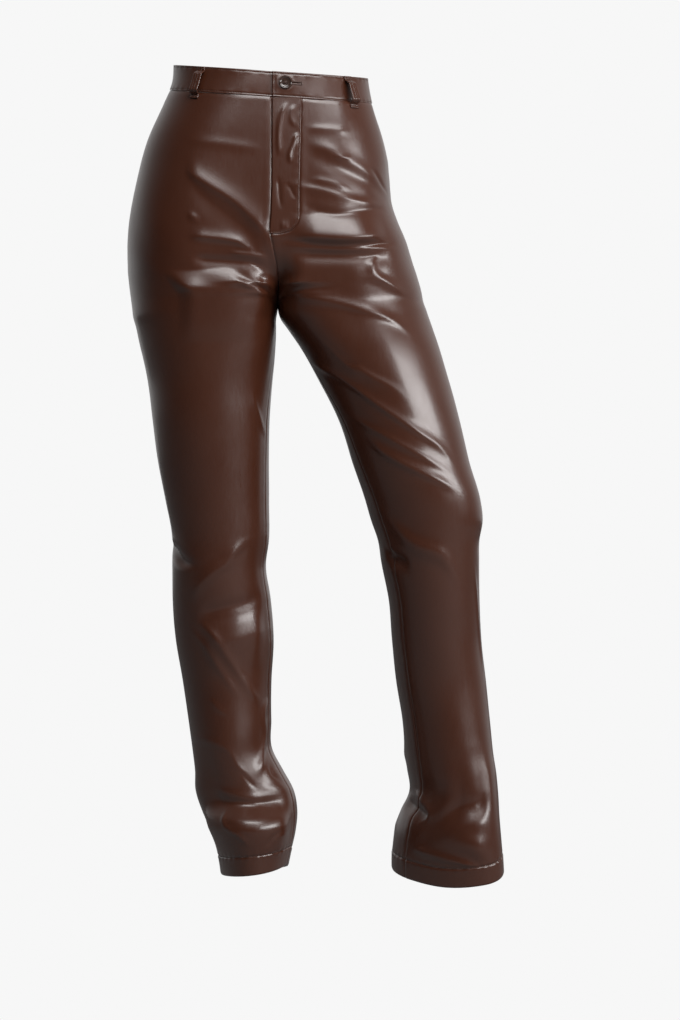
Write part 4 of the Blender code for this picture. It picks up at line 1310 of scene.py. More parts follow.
@dataclass
class Fly:
    """The fly's own layer on the left front, which the front's cloth rises to meet."""

    form: Form
    width_top: float = 38.0
    width_low: float = 33.0
    end_drop: float = FLY_END
    corner: float = 24.0
    overhang: float = 1.5
    clearance: float = 0.45
    cloth: float = 1.2
    rows: int = 150
    columns: int = 40
    corner_rows: int = 26
    edge_steps: tuple[float, ...] = (0.0, 0.35, 0.8, 1.4, 2.2, 3.4)
    foot_steps: tuple[float, ...] = (5.0, 3.4, 2.2, 1.4, 0.8, 0.35, 0.0)
    corner_end: float = 7.0
    top_across: float = 0.1
    top_gap: float = 0.2
    edge_radius: float = 1.1
    edge_share: float = 0.9
    lip_height: float = 1.35
    lip_start: float = 0.3
    lip_ramp: float = 1.5
    lip_flat: float = 1.2
    lip_fade: float = 7.0
    pucker_height: float = 0.14
    pucker_width: float = 5.0
    groove_depth: float = 0.4
    groove_width: float = 0.7
    stitch_inset: float = 2.0
    stitch_top: float = 22.0
    stitch_end: float = 1.0
    stitch_lift: float = 0.1
    straight_steps: int = 160
    turn_steps: int = 40
    end_steps: int = 12
    flat: tuple[float, float] = (0.038, 0.181)

    def width(self, drop: np.ndarray) -> np.ndarray:
        """Returns how far from the centre seam the layer's edge is, without its corner."""
        return self.width_top + (self.width_low - self.width_top) * drop / self.end_drop

    def beyond(self, drop: np.ndarray, from_centre: np.ndarray) -> np.ndarray:
        """Returns how far outside the layer's edge a point is, or inside it below 0."""
        side = from_centre - (self.width(drop) - self.corner)
        foot = drop - (self.end_drop - self.corner)
        outside = np.hypot(np.maximum(side, 0), np.maximum(foot, 0))
        return outside + np.minimum(np.maximum(side, foot), 0) - self.corner

    def lip(self, drop: np.ndarray, across: np.ndarray) -> np.ndarray:
        """Finds how far the front's cloth rises beside the layer's edge.

        Args:
            drop: The drops.
            across: The places across.

        Returns:
            The rises, in millimetres.
        """
        beyond = self.beyond(drop, self.form.from_centre(drop, across))
        rise = self.lip_height * ease((beyond + self.lip_start) / self.lip_ramp)
        return rise * bell(np.maximum(beyond - self.lip_flat, 0), self.lip_fade)

    def _edge_width(self, drop: np.ndarray) -> np.ndarray:
        """Returns the layer's width at a drop, rounded corner and all."""
        into = np.clip(1 - (self.end_drop - drop) / self.corner, 0.0, 1.0)
        return self.width(drop) - self.corner * (1 - np.sqrt(1 - into**2))

    def surface(self, drop: np.ndarray, from_centre: np.ndarray) -> np.ndarray:
        """Finds points of the layer's outer face.

        Args:
            drop: The drops.
            from_centre: The distances from the centre seam.

        Returns:
            The points, in millimetres.
        """
        beyond = -self.beyond(drop, from_centre)
        beside = np.minimum(beyond, from_centre + self.overhang)
        puckers = self.pucker_height * pucker(drop, 2.1, 1.5, 17.0)
        puckers = puckers * bell(beyond, self.pucker_width)
        groove = self.groove_depth * bell(beyond - self.stitch_inset, self.groove_width)
        edge = rounded(beside, self.edge_radius) * self.edge_share
        height = self.clearance + self.cloth + puckers - groove - edge
        return self.form.point(drop, self.form.across_at(drop, from_centre), height)

    def build(self, palette: Palette) -> bpy.types.Object:
        """Returns the layer, which stands for its node."""
        top = self.form.waist_drop(np.array([self.top_across]), WAIST_SEAM)[0] + self.top_gap
        low = self.end_drop - self.corner
        straight = np.linspace(top, low, self.rows)[:-1]
        corner = np.linspace(low, self.end_drop - self.corner_end, self.corner_rows)
        foot = self.end_drop - np.array(self.foot_steps)
        drop = np.concatenate([straight, corner, foot])[:, None]
        edge = np.array(self.edge_steps)
        span = self._edge_width(drop) + self.overhang
        middle = np.linspace(0.0, 1.0, self.columns)[None, 1:-1]
        inset = edge[None, :] + 0 * drop
        inside = edge[-1] + middle * (span - 2 * edge[-1])
        from_left = np.concatenate([inset, inside, span - inset[:, ::-1]], axis=1) - self.overhang
        drop = np.broadcast_to(drop, from_left.shape)
        outer = self.surface(drop, from_left)
        inner = self.form.point(drop, self.form.across_at(drop, from_left), self.clearance)
        made = wall("fly_layer", outer, inner, [palette.leather], True)
        ride(made, "faux_leather", "fly_placket")
        sewing = Stitching("fly_stitching", palette.thread)
        self._stitches(sewing)
        sewing.build()
        return made

    def _stitches(self, stitching: Stitching) -> None:
        """Adds the line of stitches that runs down beside the edge and round the corner."""
        low = self.end_drop - self.corner
        straight = np.linspace(self.stitch_top, low, self.straight_steps)
        turn = np.linspace(0.0, QUARTER_TURN, self.turn_steps)[1:]
        corner = self.corner - self.stitch_inset
        drop = np.concatenate([straight, low + corner * np.sin(turn)])
        edge = self.width(drop) - self.corner
        reach = np.concatenate([np.full_like(straight, corner), corner * np.cos(turn)])
        from_centre = edge + reach
        last = np.linspace(from_centre[-1], self.stitch_end, self.end_steps)[1:]
        from_centre = np.concatenate([from_centre, last])
        drop = np.concatenate([drop, np.full_like(last, drop[-1])])
        normal = self.form.normal(drop, self.form.across_at(drop, from_centre))
        stitching.along(self.surface(drop, from_centre) + normal * self.stitch_lift, normal)


@dataclass
class LegPanel:
    """One leg panel of coated cloth, from the waist seam to the turned-up hem."""

    form: Form
    half: Half
    node: str
    fly: Fly | None = None
    upper_rows: int = 150
    lower_rows: int = 224
    columns: int = 92
    cloth: float = 1.2
    hem_depth: float = 25.0
    edge_roll: float = 0.75
    edge_width: float = 1.3
    hem_edge_width: float = 1.2
    hem_groove: float = 1.0
    groove_width: float = 1.5
    turn_ramp: float = 1.5
    turn_rise: float = 0.5
    hem_pucker: float = 0.3
    hem_pucker_width: float = 5.0
    seam_pucker: float = 0.13
    seam_pucker_width: float = 6.0
    allowance: float = 0.22
    allowance_end: float = 10.5
    allowance_ramp: float = 3.0
    waist_dip: float = 0.6
    waist_dip_width: float = 2.2
    fly_dip: float = 1.5
    fly_dip_width: float = 4.0
    fly_dip_ramp: float = 12.0
    # The usual width of a unit of across, and the usual length of a leg below the crotch.
    unit_width: float = 115.0
    leg_length: float = 750.0
    # Places across: how close a panel comes to its seam, and where its even columns start.
    seam_inset: float = 0.00002
    plain_inset: float = 0.06
    # Columns by their distance from a seam, and rows by their distance above the hem.
    seam_columns: tuple[float, ...] = (0.0, 0.4, 0.9, 1.5, 2.3, 3.4, 5.0)
    plain_end: float = 32.0
    sewn_rows: tuple[float, float, float] = (31.0, 19.0, -0.7)
    hem_rows: tuple[float, ...] = (16, 12, 9, 6, 4.2, 2.8, 1.8, 1.0, 0.4, 0.0)
    stitch_ends: float = 0.01
    stitch_steps: int = 260

    def _across(self) -> np.ndarray:
        """Returns the columns' places across, close together beside the seams."""
        start, end = self.half.value
        near = np.array(self.seam_columns) / self.unit_width
        edge, inset = self.seam_inset, self.plain_inset
        middle = np.linspace(start + edge + inset, end - edge - inset, self.columns)
        return np.concatenate([start + edge + near, middle, (end - edge - near)[::-1]])

    def _down(self) -> np.ndarray:
        """Returns the rows' places down the panel, close together at the hem and its sewing."""
        upper = np.linspace(0.0, 1.0, self.upper_rows + 1)
        plain_end = 2.0 - self.plain_end / self.leg_length
        lower = np.linspace(1.0, plain_end, self.lower_rows + 1)[1:]
        sewn = 2.0 - np.arange(*self.sewn_rows) / self.leg_length
        end = 2.0 - np.array(self.hem_rows) / self.leg_length
        return np.concatenate([upper, lower, sewn, end])

    def trim(self, drop: np.ndarray, across: np.ndarray) -> np.ndarray:
        """Shapes the outer face by the seams, the waist edge and the hem.

        Args:
            drop: The drops.
            across: The places across.

        Returns:
            The lifts of the face, in millimetres.
        """
        start, end = self.half.value
        length = self.form.across_length(drop)
        beside = np.minimum(across - start, end - across) * length
        above_hem = self.form.hem_drop(across) - drop
        above_sewing = above_hem - self.hem_depth
        rolled = bell(beside, self.edge_width) + bell(above_hem, self.hem_edge_width)
        groove = bell(above_sewing, self.groove_width)
        turned = ease((self.hem_depth + self.turn_ramp - above_hem) / (2 * self.turn_ramp))
        hem_puckers = self.hem_pucker * pucker(across * length, 1.9, 2, 23.0)
        hem_puckers = hem_puckers * bell(above_sewing, self.hem_pucker_width)
        seam_puckers = self.seam_pucker * pucker(drop, 3.1, 2, 31.0)
        seam_puckers = seam_puckers * bell(beside, self.seam_pucker_width)
        allowance = self.allowance * ease((self.allowance_end - beside) / self.allowance_ramp)
        lift = self.turn_rise * turned + hem_puckers + seam_puckers + allowance
        lift = lift - self.edge_roll * rolled - self.hem_groove * groove
        waist = self.form.waist_drop(across, BAND_HEIGHT / 2)
        lift = lift - self.waist_dip * bell(drop - waist, self.waist_dip_width)
        if self.fly is not None:
            lift = lift + self.fly.lip(drop, across)
        elif self.half is Half.FRONT:
            under = self.fly_dip * ease((FLY_END - drop) / self.fly_dip_ramp)
            lift = lift - under * bell(beside, self.fly_dip_width)
        return lift

    def build(self, palette: Palette) -> bpy.types.Object:
        """Returns the panel, a sheet with its hem's stitching, which stands for its node."""
        across, down = self._across()[None, :], self._down()[:, None]
        drop = self.form.drop(down, across)
        across = np.broadcast_to(across, drop.shape)
        outer = self.form.point(drop, across, self.trim(drop, across))
        above_hem = self.form.hem_drop(across) - drop
        depth = self.cloth * (1 + ease((self.hem_depth - above_hem) / self.turn_ramp))
        inner = outer - self.form.normal(drop, across) * depth[..., None]
        flip = self.form.side is Side.LEFT
        made = wall(f"{self.node}_cloth", outer, inner, [palette.leather, palette.backing], flip)
        ride(made, "faux_leather", self.node)
        sewing = Stitching(f"{self.node}_hem_stitching", palette.thread)
        self._stitches(sewing)
        sewing.build()
        return made

    def _stitches(self, stitching: Stitching) -> None:
        """Adds the line of stitches above the hem."""
        start, end = self.half.value
        inset = self.stitch_ends
        across = np.linspace(start + inset, end - inset, self.stitch_steps)
        drop = self.form.hem_drop(across) - self.hem_depth
        normal = self.form.normal(drop, across)
        path = self.form.point(drop, across, self.trim(drop, across)) + normal * STITCH_LIFT
        stitching.along(path, normal)


@dataclass
class Waistband:
    """The waistband: one padded strip whose right end tucks under its left end at the front."""

    right: Form
    left: Form
    cloth: float = 2.4
    proud: float = 0.8
    underlap: float = 32.0
    underlap_bend: float = 34.0
    clearance: float = 0.5
    overhang: float = 1.5
    columns: int = 620
    stitch_inset: float = 2.6
    crown: float = 0.35
    button_x: float = 15.0
    button_above_middle: float = 2.5
    hole_length: float = 19.0
    hole_width: float = 1.5
    hole_depth: float = 3.0
    eye_radius: float = 2.0
    eye_binding: float = 1.9
    eye_opening: float = 0.5
    side_binding: float = 1.9
    end_binding: float = 1.7
    end_half: float = 2.6
    binding_start: float = 2.2
    binding_pitch: float = 0.62
    eye_pitch: float = 0.24
    binding_lift: float = 0.1
    edge_radius: float = 1.25
    edge_share: float = 0.9
    most_edge: float = 1.1
    past_centre: float = 0.2
    seam_ease: float = 4.0
    groove_depth: float = 0.4
    groove_width: float = 0.75
    end_groove_inset: float = 0.4
    end_groove_width: float = 0.8
    pucker_height: float = 0.17
    pucker_width: float = 3.2
    end_pucker_height: float = 0.14
    end_pucker_width: float = 2.6
    softness: float = 0.25
    button_mark: float = 0.35
    button_mark_x: float = 14.0
    button_mark_radius: float = 9.8
    button_mark_width: float = 1.5
    end_steps: tuple[float, ...] = (0.0, 0.15, 0.4, 0.75, 1.25, 1.9, 2.6)
    edge_steps: tuple[float, ...] = (0.0, 0.15, 0.4, 0.75, 1.25, 1.8, 2.3, 2.6, 2.9, 3.4, 4.2)
    body_inset: float = 5.4
    body_rows: int = 15
    stitch_end: float = 0.05
    stitch_steps: int = 2400
    end_stitch_steps: int = 60
    flat: tuple[float, float] = (0.76, 0.034)

    def _quarter(self) -> float:
        """Returns the millimetres of band to each unit of its run."""
        return float(self.left.across_length(0.0))

    def _base(
        self, run: np.ndarray, below: np.ndarray
    ) -> tuple[np.ndarray, np.ndarray, np.ndarray]:
        """Finds points of the ring that the band lies on.

        Args:
            run: The places along the band.
            below: How far below its middle they are.

        Returns:
            The points, their outward directions and how deep the band lies there.
        """
        run, below = np.broadcast_arrays(run, below)
        around = 2 * CENTRE_BACK
        at_left = (run <= CENTRE_BACK) | (run > around)
        on_left = np.where(run > around, run - around, run)
        pieces = []
        for form, across in ((self.left, on_left), (self.right, around - run)):
            across = np.clip(across, -self.past_centre, CENTRE_BACK)
            drop = form.waist_drop(across, below)
            middle = form.section(drop, across)
            beside = np.minimum(np.abs(across), CENTRE_BACK - across) * self._quarter()
            apart = np.clip(1 - beside / self.seam_ease, 0, 1)
            middle[..., 0] -= form.side.value * SEAM_GAP / 2 * apart
            pieces.append((middle, form.level_normal(drop, across)))
        chosen = [np.where(at_left[..., None], a, b) for a, b in zip(*pieces)]
        tuck = ease(1 - (around - run) * self._quarter() / self.underlap_bend)
        depth = -self.proud + tuck * (self.cloth + self.clearance)
        return chosen[0], chosen[1], np.where(run <= CENTRE_BACK, -self.proud, depth)

    def _ends(self) -> tuple[float, float]:
        """Returns where the band's run starts and ends."""
        start = -self.overhang / self._quarter()
        return start, 2 * CENTRE_BACK + self.underlap / self._quarter()

    def _edges(self, from_edge: np.ndarray, from_end: np.ndarray) -> np.ndarray:
        """Returns how far the round edges fall back."""
        edge = rounded(from_edge, self.edge_radius) * self.edge_share
        return edge + rounded(from_end, self.edge_radius) * self.edge_share

    def _relief(self, run: np.ndarray, below: np.ndarray) -> np.ndarray:
        """Finds how far the outer face stands out from the flat band.

        Args:
            run: The places along the band.
            below: How far below its middle they are.

        Returns:
            The lifts, in millimetres.
        """
        from_edge = BAND_HEIGHT / 2 - np.abs(below)
        from_end = (run - self._ends()[0]) * self._quarter()
        inset = self.stitch_inset
        body = self.crown * np.cos(np.clip(below / (BAND_HEIGHT / 2), -1, 1) * QUARTER_TURN)
        low = bell(from_edge - inset, self.groove_width)
        end = bell(from_end - inset - self.end_groove_inset, self.end_groove_width)
        along = run * self._quarter()
        puckers = self.pucker_height * pucker(along, 2.3, 1.8, 19.0)
        puckers = puckers * bell(from_edge - inset, self.pucker_width)
        wave_up = self.end_pucker_height * np.sin(below / 2.0 + 1.0)
        puckers = puckers + wave_up * bell(from_end - inset, self.end_pucker_width)
        soft = self.softness * pucker(along, 13.0, 1.2, 37.0) * np.cos(below / 9.0)
        beside = from_end - inset - self.button_mark_x
        ring = np.hypot(beside, below + self.button_above_middle)
        button = self.button_mark * bell(ring - self.button_mark_radius, self.button_mark_width)
        grooves = self.groove_depth * low, self.groove_depth * end
        edges = self._edges(from_edge, from_end)
        return body - grooves[0] - grooves[1] + puckers + soft + button - edges

    def surface(self, run: np.ndarray, below: np.ndarray) -> tuple[np.ndarray, np.ndarray]:
        """Finds points of the outer face.

        Args:
            run: The places along the band.
            below: How far below its middle they are.

        Returns:
            The points and their outward directions.
        """
        middle, outward, depth = self._base(run, below)
        run, below = np.broadcast_arrays(run, below)
        return middle + outward * (self._relief(run, below) - depth)[..., None], outward

    def place(self) -> Place:
        """Returns the spot that the button sits on."""
        run = np.array([self.button_x / self._quarter()])
        below = np.array([-self.button_above_middle])
        middle, outward, _ = self._base(run, below)
        drop = self.left.waist_drop(run, below)
        return Place.facing(middle[0] + outward[0] * self.proud, self.left.normal(drop, run)[0])

    def build(self, palette: Palette) -> bpy.types.Object:
        """Returns the band as a sheet that stands for its node."""
        first, last = self._ends()
        near = np.array(self.end_steps) / self._quarter()
        run = np.concatenate(
            [first + near, np.linspace(first, last, self.columns)[3:-3], (last - near)[::-1]]
        )[None, :]
        edge = np.array(self.edge_steps)
        body = np.linspace(self.body_inset, BAND_HEIGHT - self.body_inset, self.body_rows)
        heights = np.concatenate([edge, body, BAND_HEIGHT - edge[::-1]]) - BAND_HEIGHT / 2
        below = heights[:, None]
        outer, _ = self.surface(run, below)
        middle, outward, depth = self._base(run, below)
        from_edge = BAND_HEIGHT / 2 - np.abs(below)
        from_end = np.minimum(run - first, last - run) * self._quarter()
        fall = np.clip(self._edges(from_edge, from_end), 0, self.most_edge)
        inner = middle - outward * (depth + self.cloth - fall)[..., None]
        made = wall("waistband_cloth", outer, inner, [palette.leather], True)
        self._cut_hole(made, palette)
        ride(made, "faux_leather", "waistband")
        edges = Stitching("waistband_stitching", palette.thread)
        self._stitches(edges)
        hole = Stitching("buttonhole_stitching", palette.thread)
        self._hole_stitches(hole)
        edges.build()
        hole.build()
        return made

    def _cut_hole(self, made: bpy.types.Object, palette: Palette) -> None:
        """Cuts the keyhole through the band's outer layer."""
        half, low = self.hole_width / 2, -(self.cloth + self.clearance / 2)
        length = self.hole_length
        slot = np.array([[0, -half], [length, -half], [length, half], [0, half]])
        eye = circle(0, 0, self.eye_radius, 24)
        cutters = [
            lofted("keyhole", self.place(), [outline] * 2, [low, self.hole_depth], palette.leather)
            for outline in (slot, eye)
        ]
        cut(made, cutters)

    def _stitches(self, stitching: Stitching) -> None:
        """Adds the stitching along the band's edges and down its left end."""
        inset = self.stitch_inset
        first, last = self._ends()
        half = BAND_HEIGHT / 2 - inset
        start = first + (inset + self.end_groove_inset) / self._quarter()
        run = np.linspace(start, last - self.stitch_end, self.stitch_steps)
        for below in (half, -half):
            path, outward = self.surface(run, np.full_like(run, below))
            stitching.along(path + outward * STITCH_LIFT, outward)
        below = np.linspace(-half, half, self.end_stitch_steps)
        path, outward = self.surface(np.full_like(below, start), below)
        stitching.along(path + outward * STITCH_LIFT, outward)

    def _hole_stitches(self, stitching: Stitching) -> None:
        """Adds the close stitches that bind the buttonhole."""
        place = self.place()
        half, wide = self.hole_width / 2, self.side_binding
        spots = []
        for x in np.arange(self.binding_start, self.hole_length, self.binding_pitch):
            for side in (-1, 1):
                spots.append(((x, side * half), (x, side * (half + wide))))
        inner, outer = self.eye_radius, self.eye_radius + self.eye_binding
        for turn in np.arange(self.eye_opening, 2 * math.pi - self.eye_opening, self.eye_pitch):
            c, s = math.cos(turn), math.sin(turn)
            spots.append(((inner * c, inner * s), (outer * c, outer * s)))
        end = self.hole_length
        for y in np.arange(-self.end_half, self.end_half + 0.1, self.binding_pitch):
            spots.append(((end, y), (end + self.end_binding, y)))
        for a, b in spots:
            ends = [self._on_band(place, np.array(p)) for p in (a, b)]
            stitching.bar(ends[0], ends[1], place.z)

    def _on_band(self, place: Place, spot: np.ndarray) -> np.ndarray:
        """Returns the point of the outer face in front of a spot given in the place."""
        run = np.array([(self.button_x + spot[0]) / self._quarter()])
        below = np.array([-self.button_above_middle - spot[1]])
        return self.surface(run, below)[0][0] + place.z * self.binding_lift


@dataclass
class Button:
    """A rimmed four-hole button, its thread cross and its wound shank."""

    place: Place
    radius: float = 8.6
    thickness: float = 3.2
    rim: float = 1.7
    dish: float = 1.1
    hole_radius: float = 0.9
    hole_reach: float = 2.0
    back: float = 0.3
    foot: float = -2.6
    steps: int = 72
    hole_steps: int = 20
    sharp_above: float = 35.0
    thread_radius: float = 0.3
    thread_apart: float = 0.45
    thread_over: float = 0.35
    thread_lift: float = 0.1
    shank_radius: float = 1.15
    shank_ripple: float = 0.16
    shank_top: float = 0.3
    shank_rows: int = 30
    shank_steps: int = 24

    def build(self, palette: Palette) -> None:
        """Builds the button, its thread and its shank."""
        front, edge = self.back + self.thickness, self.radius
        rim = edge - self.rim
        # Radii and heights, from the middle of the back over the rim to the middle of the dish.
        profile = (
            (1.0, self.back + 0.25),
            (edge - 2.6, self.back),
            (edge - 1.2, self.back + 0.15),
            (edge - 0.35, self.back + 0.75),
            (edge, self.back + 1.5),
            (edge - 0.1, front - 0.9),
            (edge - 0.45, front - 0.3),
            (edge - 0.95, front),
            (rim + 0.35, front - 0.05),
            (rim, front - 0.3),
            (rim - 0.25, front - 0.75),
            (rim - 0.75, front - self.dish),
            (rim - 2.2, front - self.dish - 0.2),
            (0.6, front - self.dish - 0.28),
        )
        rings = [circle(0, 0, radius, self.steps) for radius, _ in profile]
        made = lofted("button_disc", self.place, rings, [h for _, h in profile], palette.button)
        holes = []
        for x in (-self.hole_reach, self.hole_reach):
            for y in (-self.hole_reach, self.hole_reach):
                outline = circle(x, y, self.hole_radius, self.hole_steps)
                low, high = self.back - 1, front + 1
                holes.append(lofted("hole", self.place, [outline] * 2, [low, high], palette.button))
        cut(made, holes)
        made.data.shade_smooth()
        made.data.set_sharp_from_angle(angle=math.radians(self.sharp_above))
        ride(made, "button", "button")
        self._thread(palette)

    def _thread(self, palette: Palette) -> None:
        """Builds the thread that crosses the holes and winds round the shank."""
        thread = Stitching("button_thread", palette.thread, radius=self.thread_radius)
        top = self.back + self.thickness - self.dish + self.thread_lift
        reach = self.hole_reach
        for slant in (-1, 1):
            for shift in (-self.thread_apart, 0.0, self.thread_apart):
                across = np.array([shift * slant, -shift])
                a, b = (np.array([-reach, -reach * slant]), np.array([reach, reach * slant]))
                lift = top + (self.thread_over if slant > 0 else 0.0)
                ends = [np.array([*(p + across), lift]) for p in (a, b)]
                points = self.place.points(np.stack(ends))
                thread.bar(points[0], points[1], self.place.z)
        thread.build("button")
        rows = self.shank_rows
        levels = np.linspace(self.foot, self.back + self.shank_top, rows)
        radii = self.shank_radius + self.shank_ripple * np.sin(np.arange(rows) * math.pi / 1.5)
        rings = [circle(0, 0, radius, self.shank_steps) for radius in radii]
        ride(lofted("button_shank", self.place, rings, levels, palette.thread), "button")


@dataclass
class BeltLoop:
    """A folded strap sewn down above and below the waistband, standing off in between."""

    node: str
    form: Form
    across: float
    width: float = 12.0
    thickness: float = 1.8
    stand_off: float = 7.4
    below_band: float = 9.0
    tab: float = 5.0
    shoulder: float = 6.5
    on_band: float = 0.95
    on_cloth: float = 0.12
    band_proud: float = 0.8
    above_edge: float = 0.5
    edge_radius: float = 0.9
    edge_share: float = 0.85
    crown: float = 0.3
    slimming: float = 0.15
    groove_depth: float = 0.55
    groove_width: float = 0.55
    line_offset: float = 2.1
    fold_rise: float = 0.45
    fold_ramp: float = 1.2
    bar_depth: float = 0.5
    bar_width: float = 0.8
    bar_inset: float = 2.4
    thinnest: float = 0.3
    inner_round: float = 0.55
    inner_share: float = 0.9
    rows: int = 110
    row_inset: float = 1.8
    end_steps: tuple[float, ...] = (0.0, 0.15, 0.4, 0.8, 1.3)
    side_steps: tuple[float, ...] = (
        0.0, 0.12, 0.35, 0.7, 1.1, 1.6, 2.1, 2.6, 3.1, 3.6, 4.1, 4.6, 5.1,
    )
    middle_steps: tuple[float, ...] = (-0.45, 0.0, 0.45)
    stitch_length: float = 1.6
    stitch_gap: float = 0.5
    flat: tuple[float, float] = (0.012, 0.06)

    def _grid(self) -> tuple[np.ndarray, np.ndarray, np.ndarray]:
        """Returns the strap's heights, its places across and its inner face's depths."""
        top, foot = -BAND_HEIGHT / 2 + self.above_edge, BAND_HEIGHT / 2 + self.below_band
        near = np.array(self.end_steps)
        body = np.linspace(top + self.row_inset, foot - self.row_inset, self.rows)
        heights = np.concatenate([top + near, body, (foot - near)[::-1]])
        rise = ease((heights - top - self.tab) / self.shoulder)
        fall = ease((heights - (foot - self.tab - self.shoulder)) / self.shoulder)
        off = self.band_proud + self.stand_off
        base = self.on_band + (off - self.on_band) * rise
        depth = base + (self.on_cloth - base) * fall
        half = self.width / 2
        side = np.array(self.side_steps)
        offsets = np.concatenate([side - half, self.middle_steps, half - side[::-1]])
        return heights, offsets, depth

    def surface(self) -> tuple[np.ndarray, np.ndarray, np.ndarray]:
        """Returns the outer face, the inner face and the outward directions."""
        heights, offsets, depth = self._grid()
        across = self.across + offsets / self.form.across_length(0.0)
        across, below = np.meshgrid(across, heights)
        drop = self.form.waist_drop(across, below)
        level = self.form.level_normal(drop, across)
        stand = self.form.relief(drop, across) + depth[:, None]
        inner = self.form.section(drop, across) + level * stand[..., None]
        along = np.gradient(inner, axis=0)
        sideways = np.gradient(inner, axis=1)
        outward = unit(np.cross(along, sideways))
        outward = outward * np.sign((outward * level).sum(-1, keepdims=True))
        half = self.width / 2
        from_side = half - np.abs(offsets)[None, :]
        from_end = np.minimum(heights - heights[0], heights[-1] - heights)[:, None]
        round_side = rounded(from_side, self.edge_radius) * self.edge_share
        round_end = rounded(from_end, self.edge_radius) * self.edge_share
        groove = self.groove_depth * bell(np.abs(offsets) - self.line_offset, self.groove_width)
        crown = self.crown * np.cos(offsets / half * QUARTER_TURN)[None, :]
        fold = self.fold_rise * ease((self.tab + 0.5 - from_end) / self.fold_ramp)
        bar = self.bar_depth * bell(from_end - self.bar_inset, self.bar_width)
        thick = self.thickness - self.slimming + crown + fold - bar
        thick = thick - groove[None, :] - round_side - round_end
        outer = inner + outward * np.maximum(thick, self.thinnest)[..., None]
        lift = np.minimum(round_side + round_end, self.inner_round)[..., None]
        return outer, inner + outward * lift * self.inner_share, outward

    def build(self, palette: Palette) -> bpy.types.Object:
        """Returns the strap, a sheet with its stitches, which stands for its node."""
        outer, inner, outward = self.surface()
        flip = self.form.side is Side.LEFT
        made = wall(f"{self.node}_strap", outer, inner, [palette.leather], flip)
        ride(made, "faux_leather", self.node)
        length, gap = self.stitch_length, self.stitch_gap
        sewing = Stitching(f"{self.node}_stitching", palette.thread, length=length, gap=gap)
        self._stitches(sewing, outer, outward)
        sewing.build()
        return made

    def _stitches(self, stitching: Stitching, outer: np.ndarray, outward: np.ndarray) -> None:
        """Adds the two lines down the strap and the bars across its ends.

        Args:
            stitching: What they are added to.
            outer: The strap's outer face.
            outward: Its outward directions.
        """
        heights, offsets, _ = self._grid()
        for offset in (-self.line_offset, self.line_offset):
            column = int(np.argmin(np.abs(offsets - offset)))
            path = outer[4:-4, column] + outward[4:-4, column] * STITCH_LIFT
            stitching.along(path, outward[4:-4, column])
        for target in (heights[0] + self.bar_inset, heights[-1] - self.bar_inset):
            row = int(np.argmin(np.abs(heights - target)))
            for column in range(3, len(offsets) - 4):
                for shift in (-1, 1):
                    a, b = outer[row - shift, column], outer[row + shift, column + 1]
                    stitching.bar(a, b, outward[row, column])


@dataclass(frozen=True)
class Block:
    """A small block behind the fronts, as spans of its drop, its x and its depth."""

    drop: tuple[float, float]
    x: tuple[float, float]
    depth: tuple[float, float]


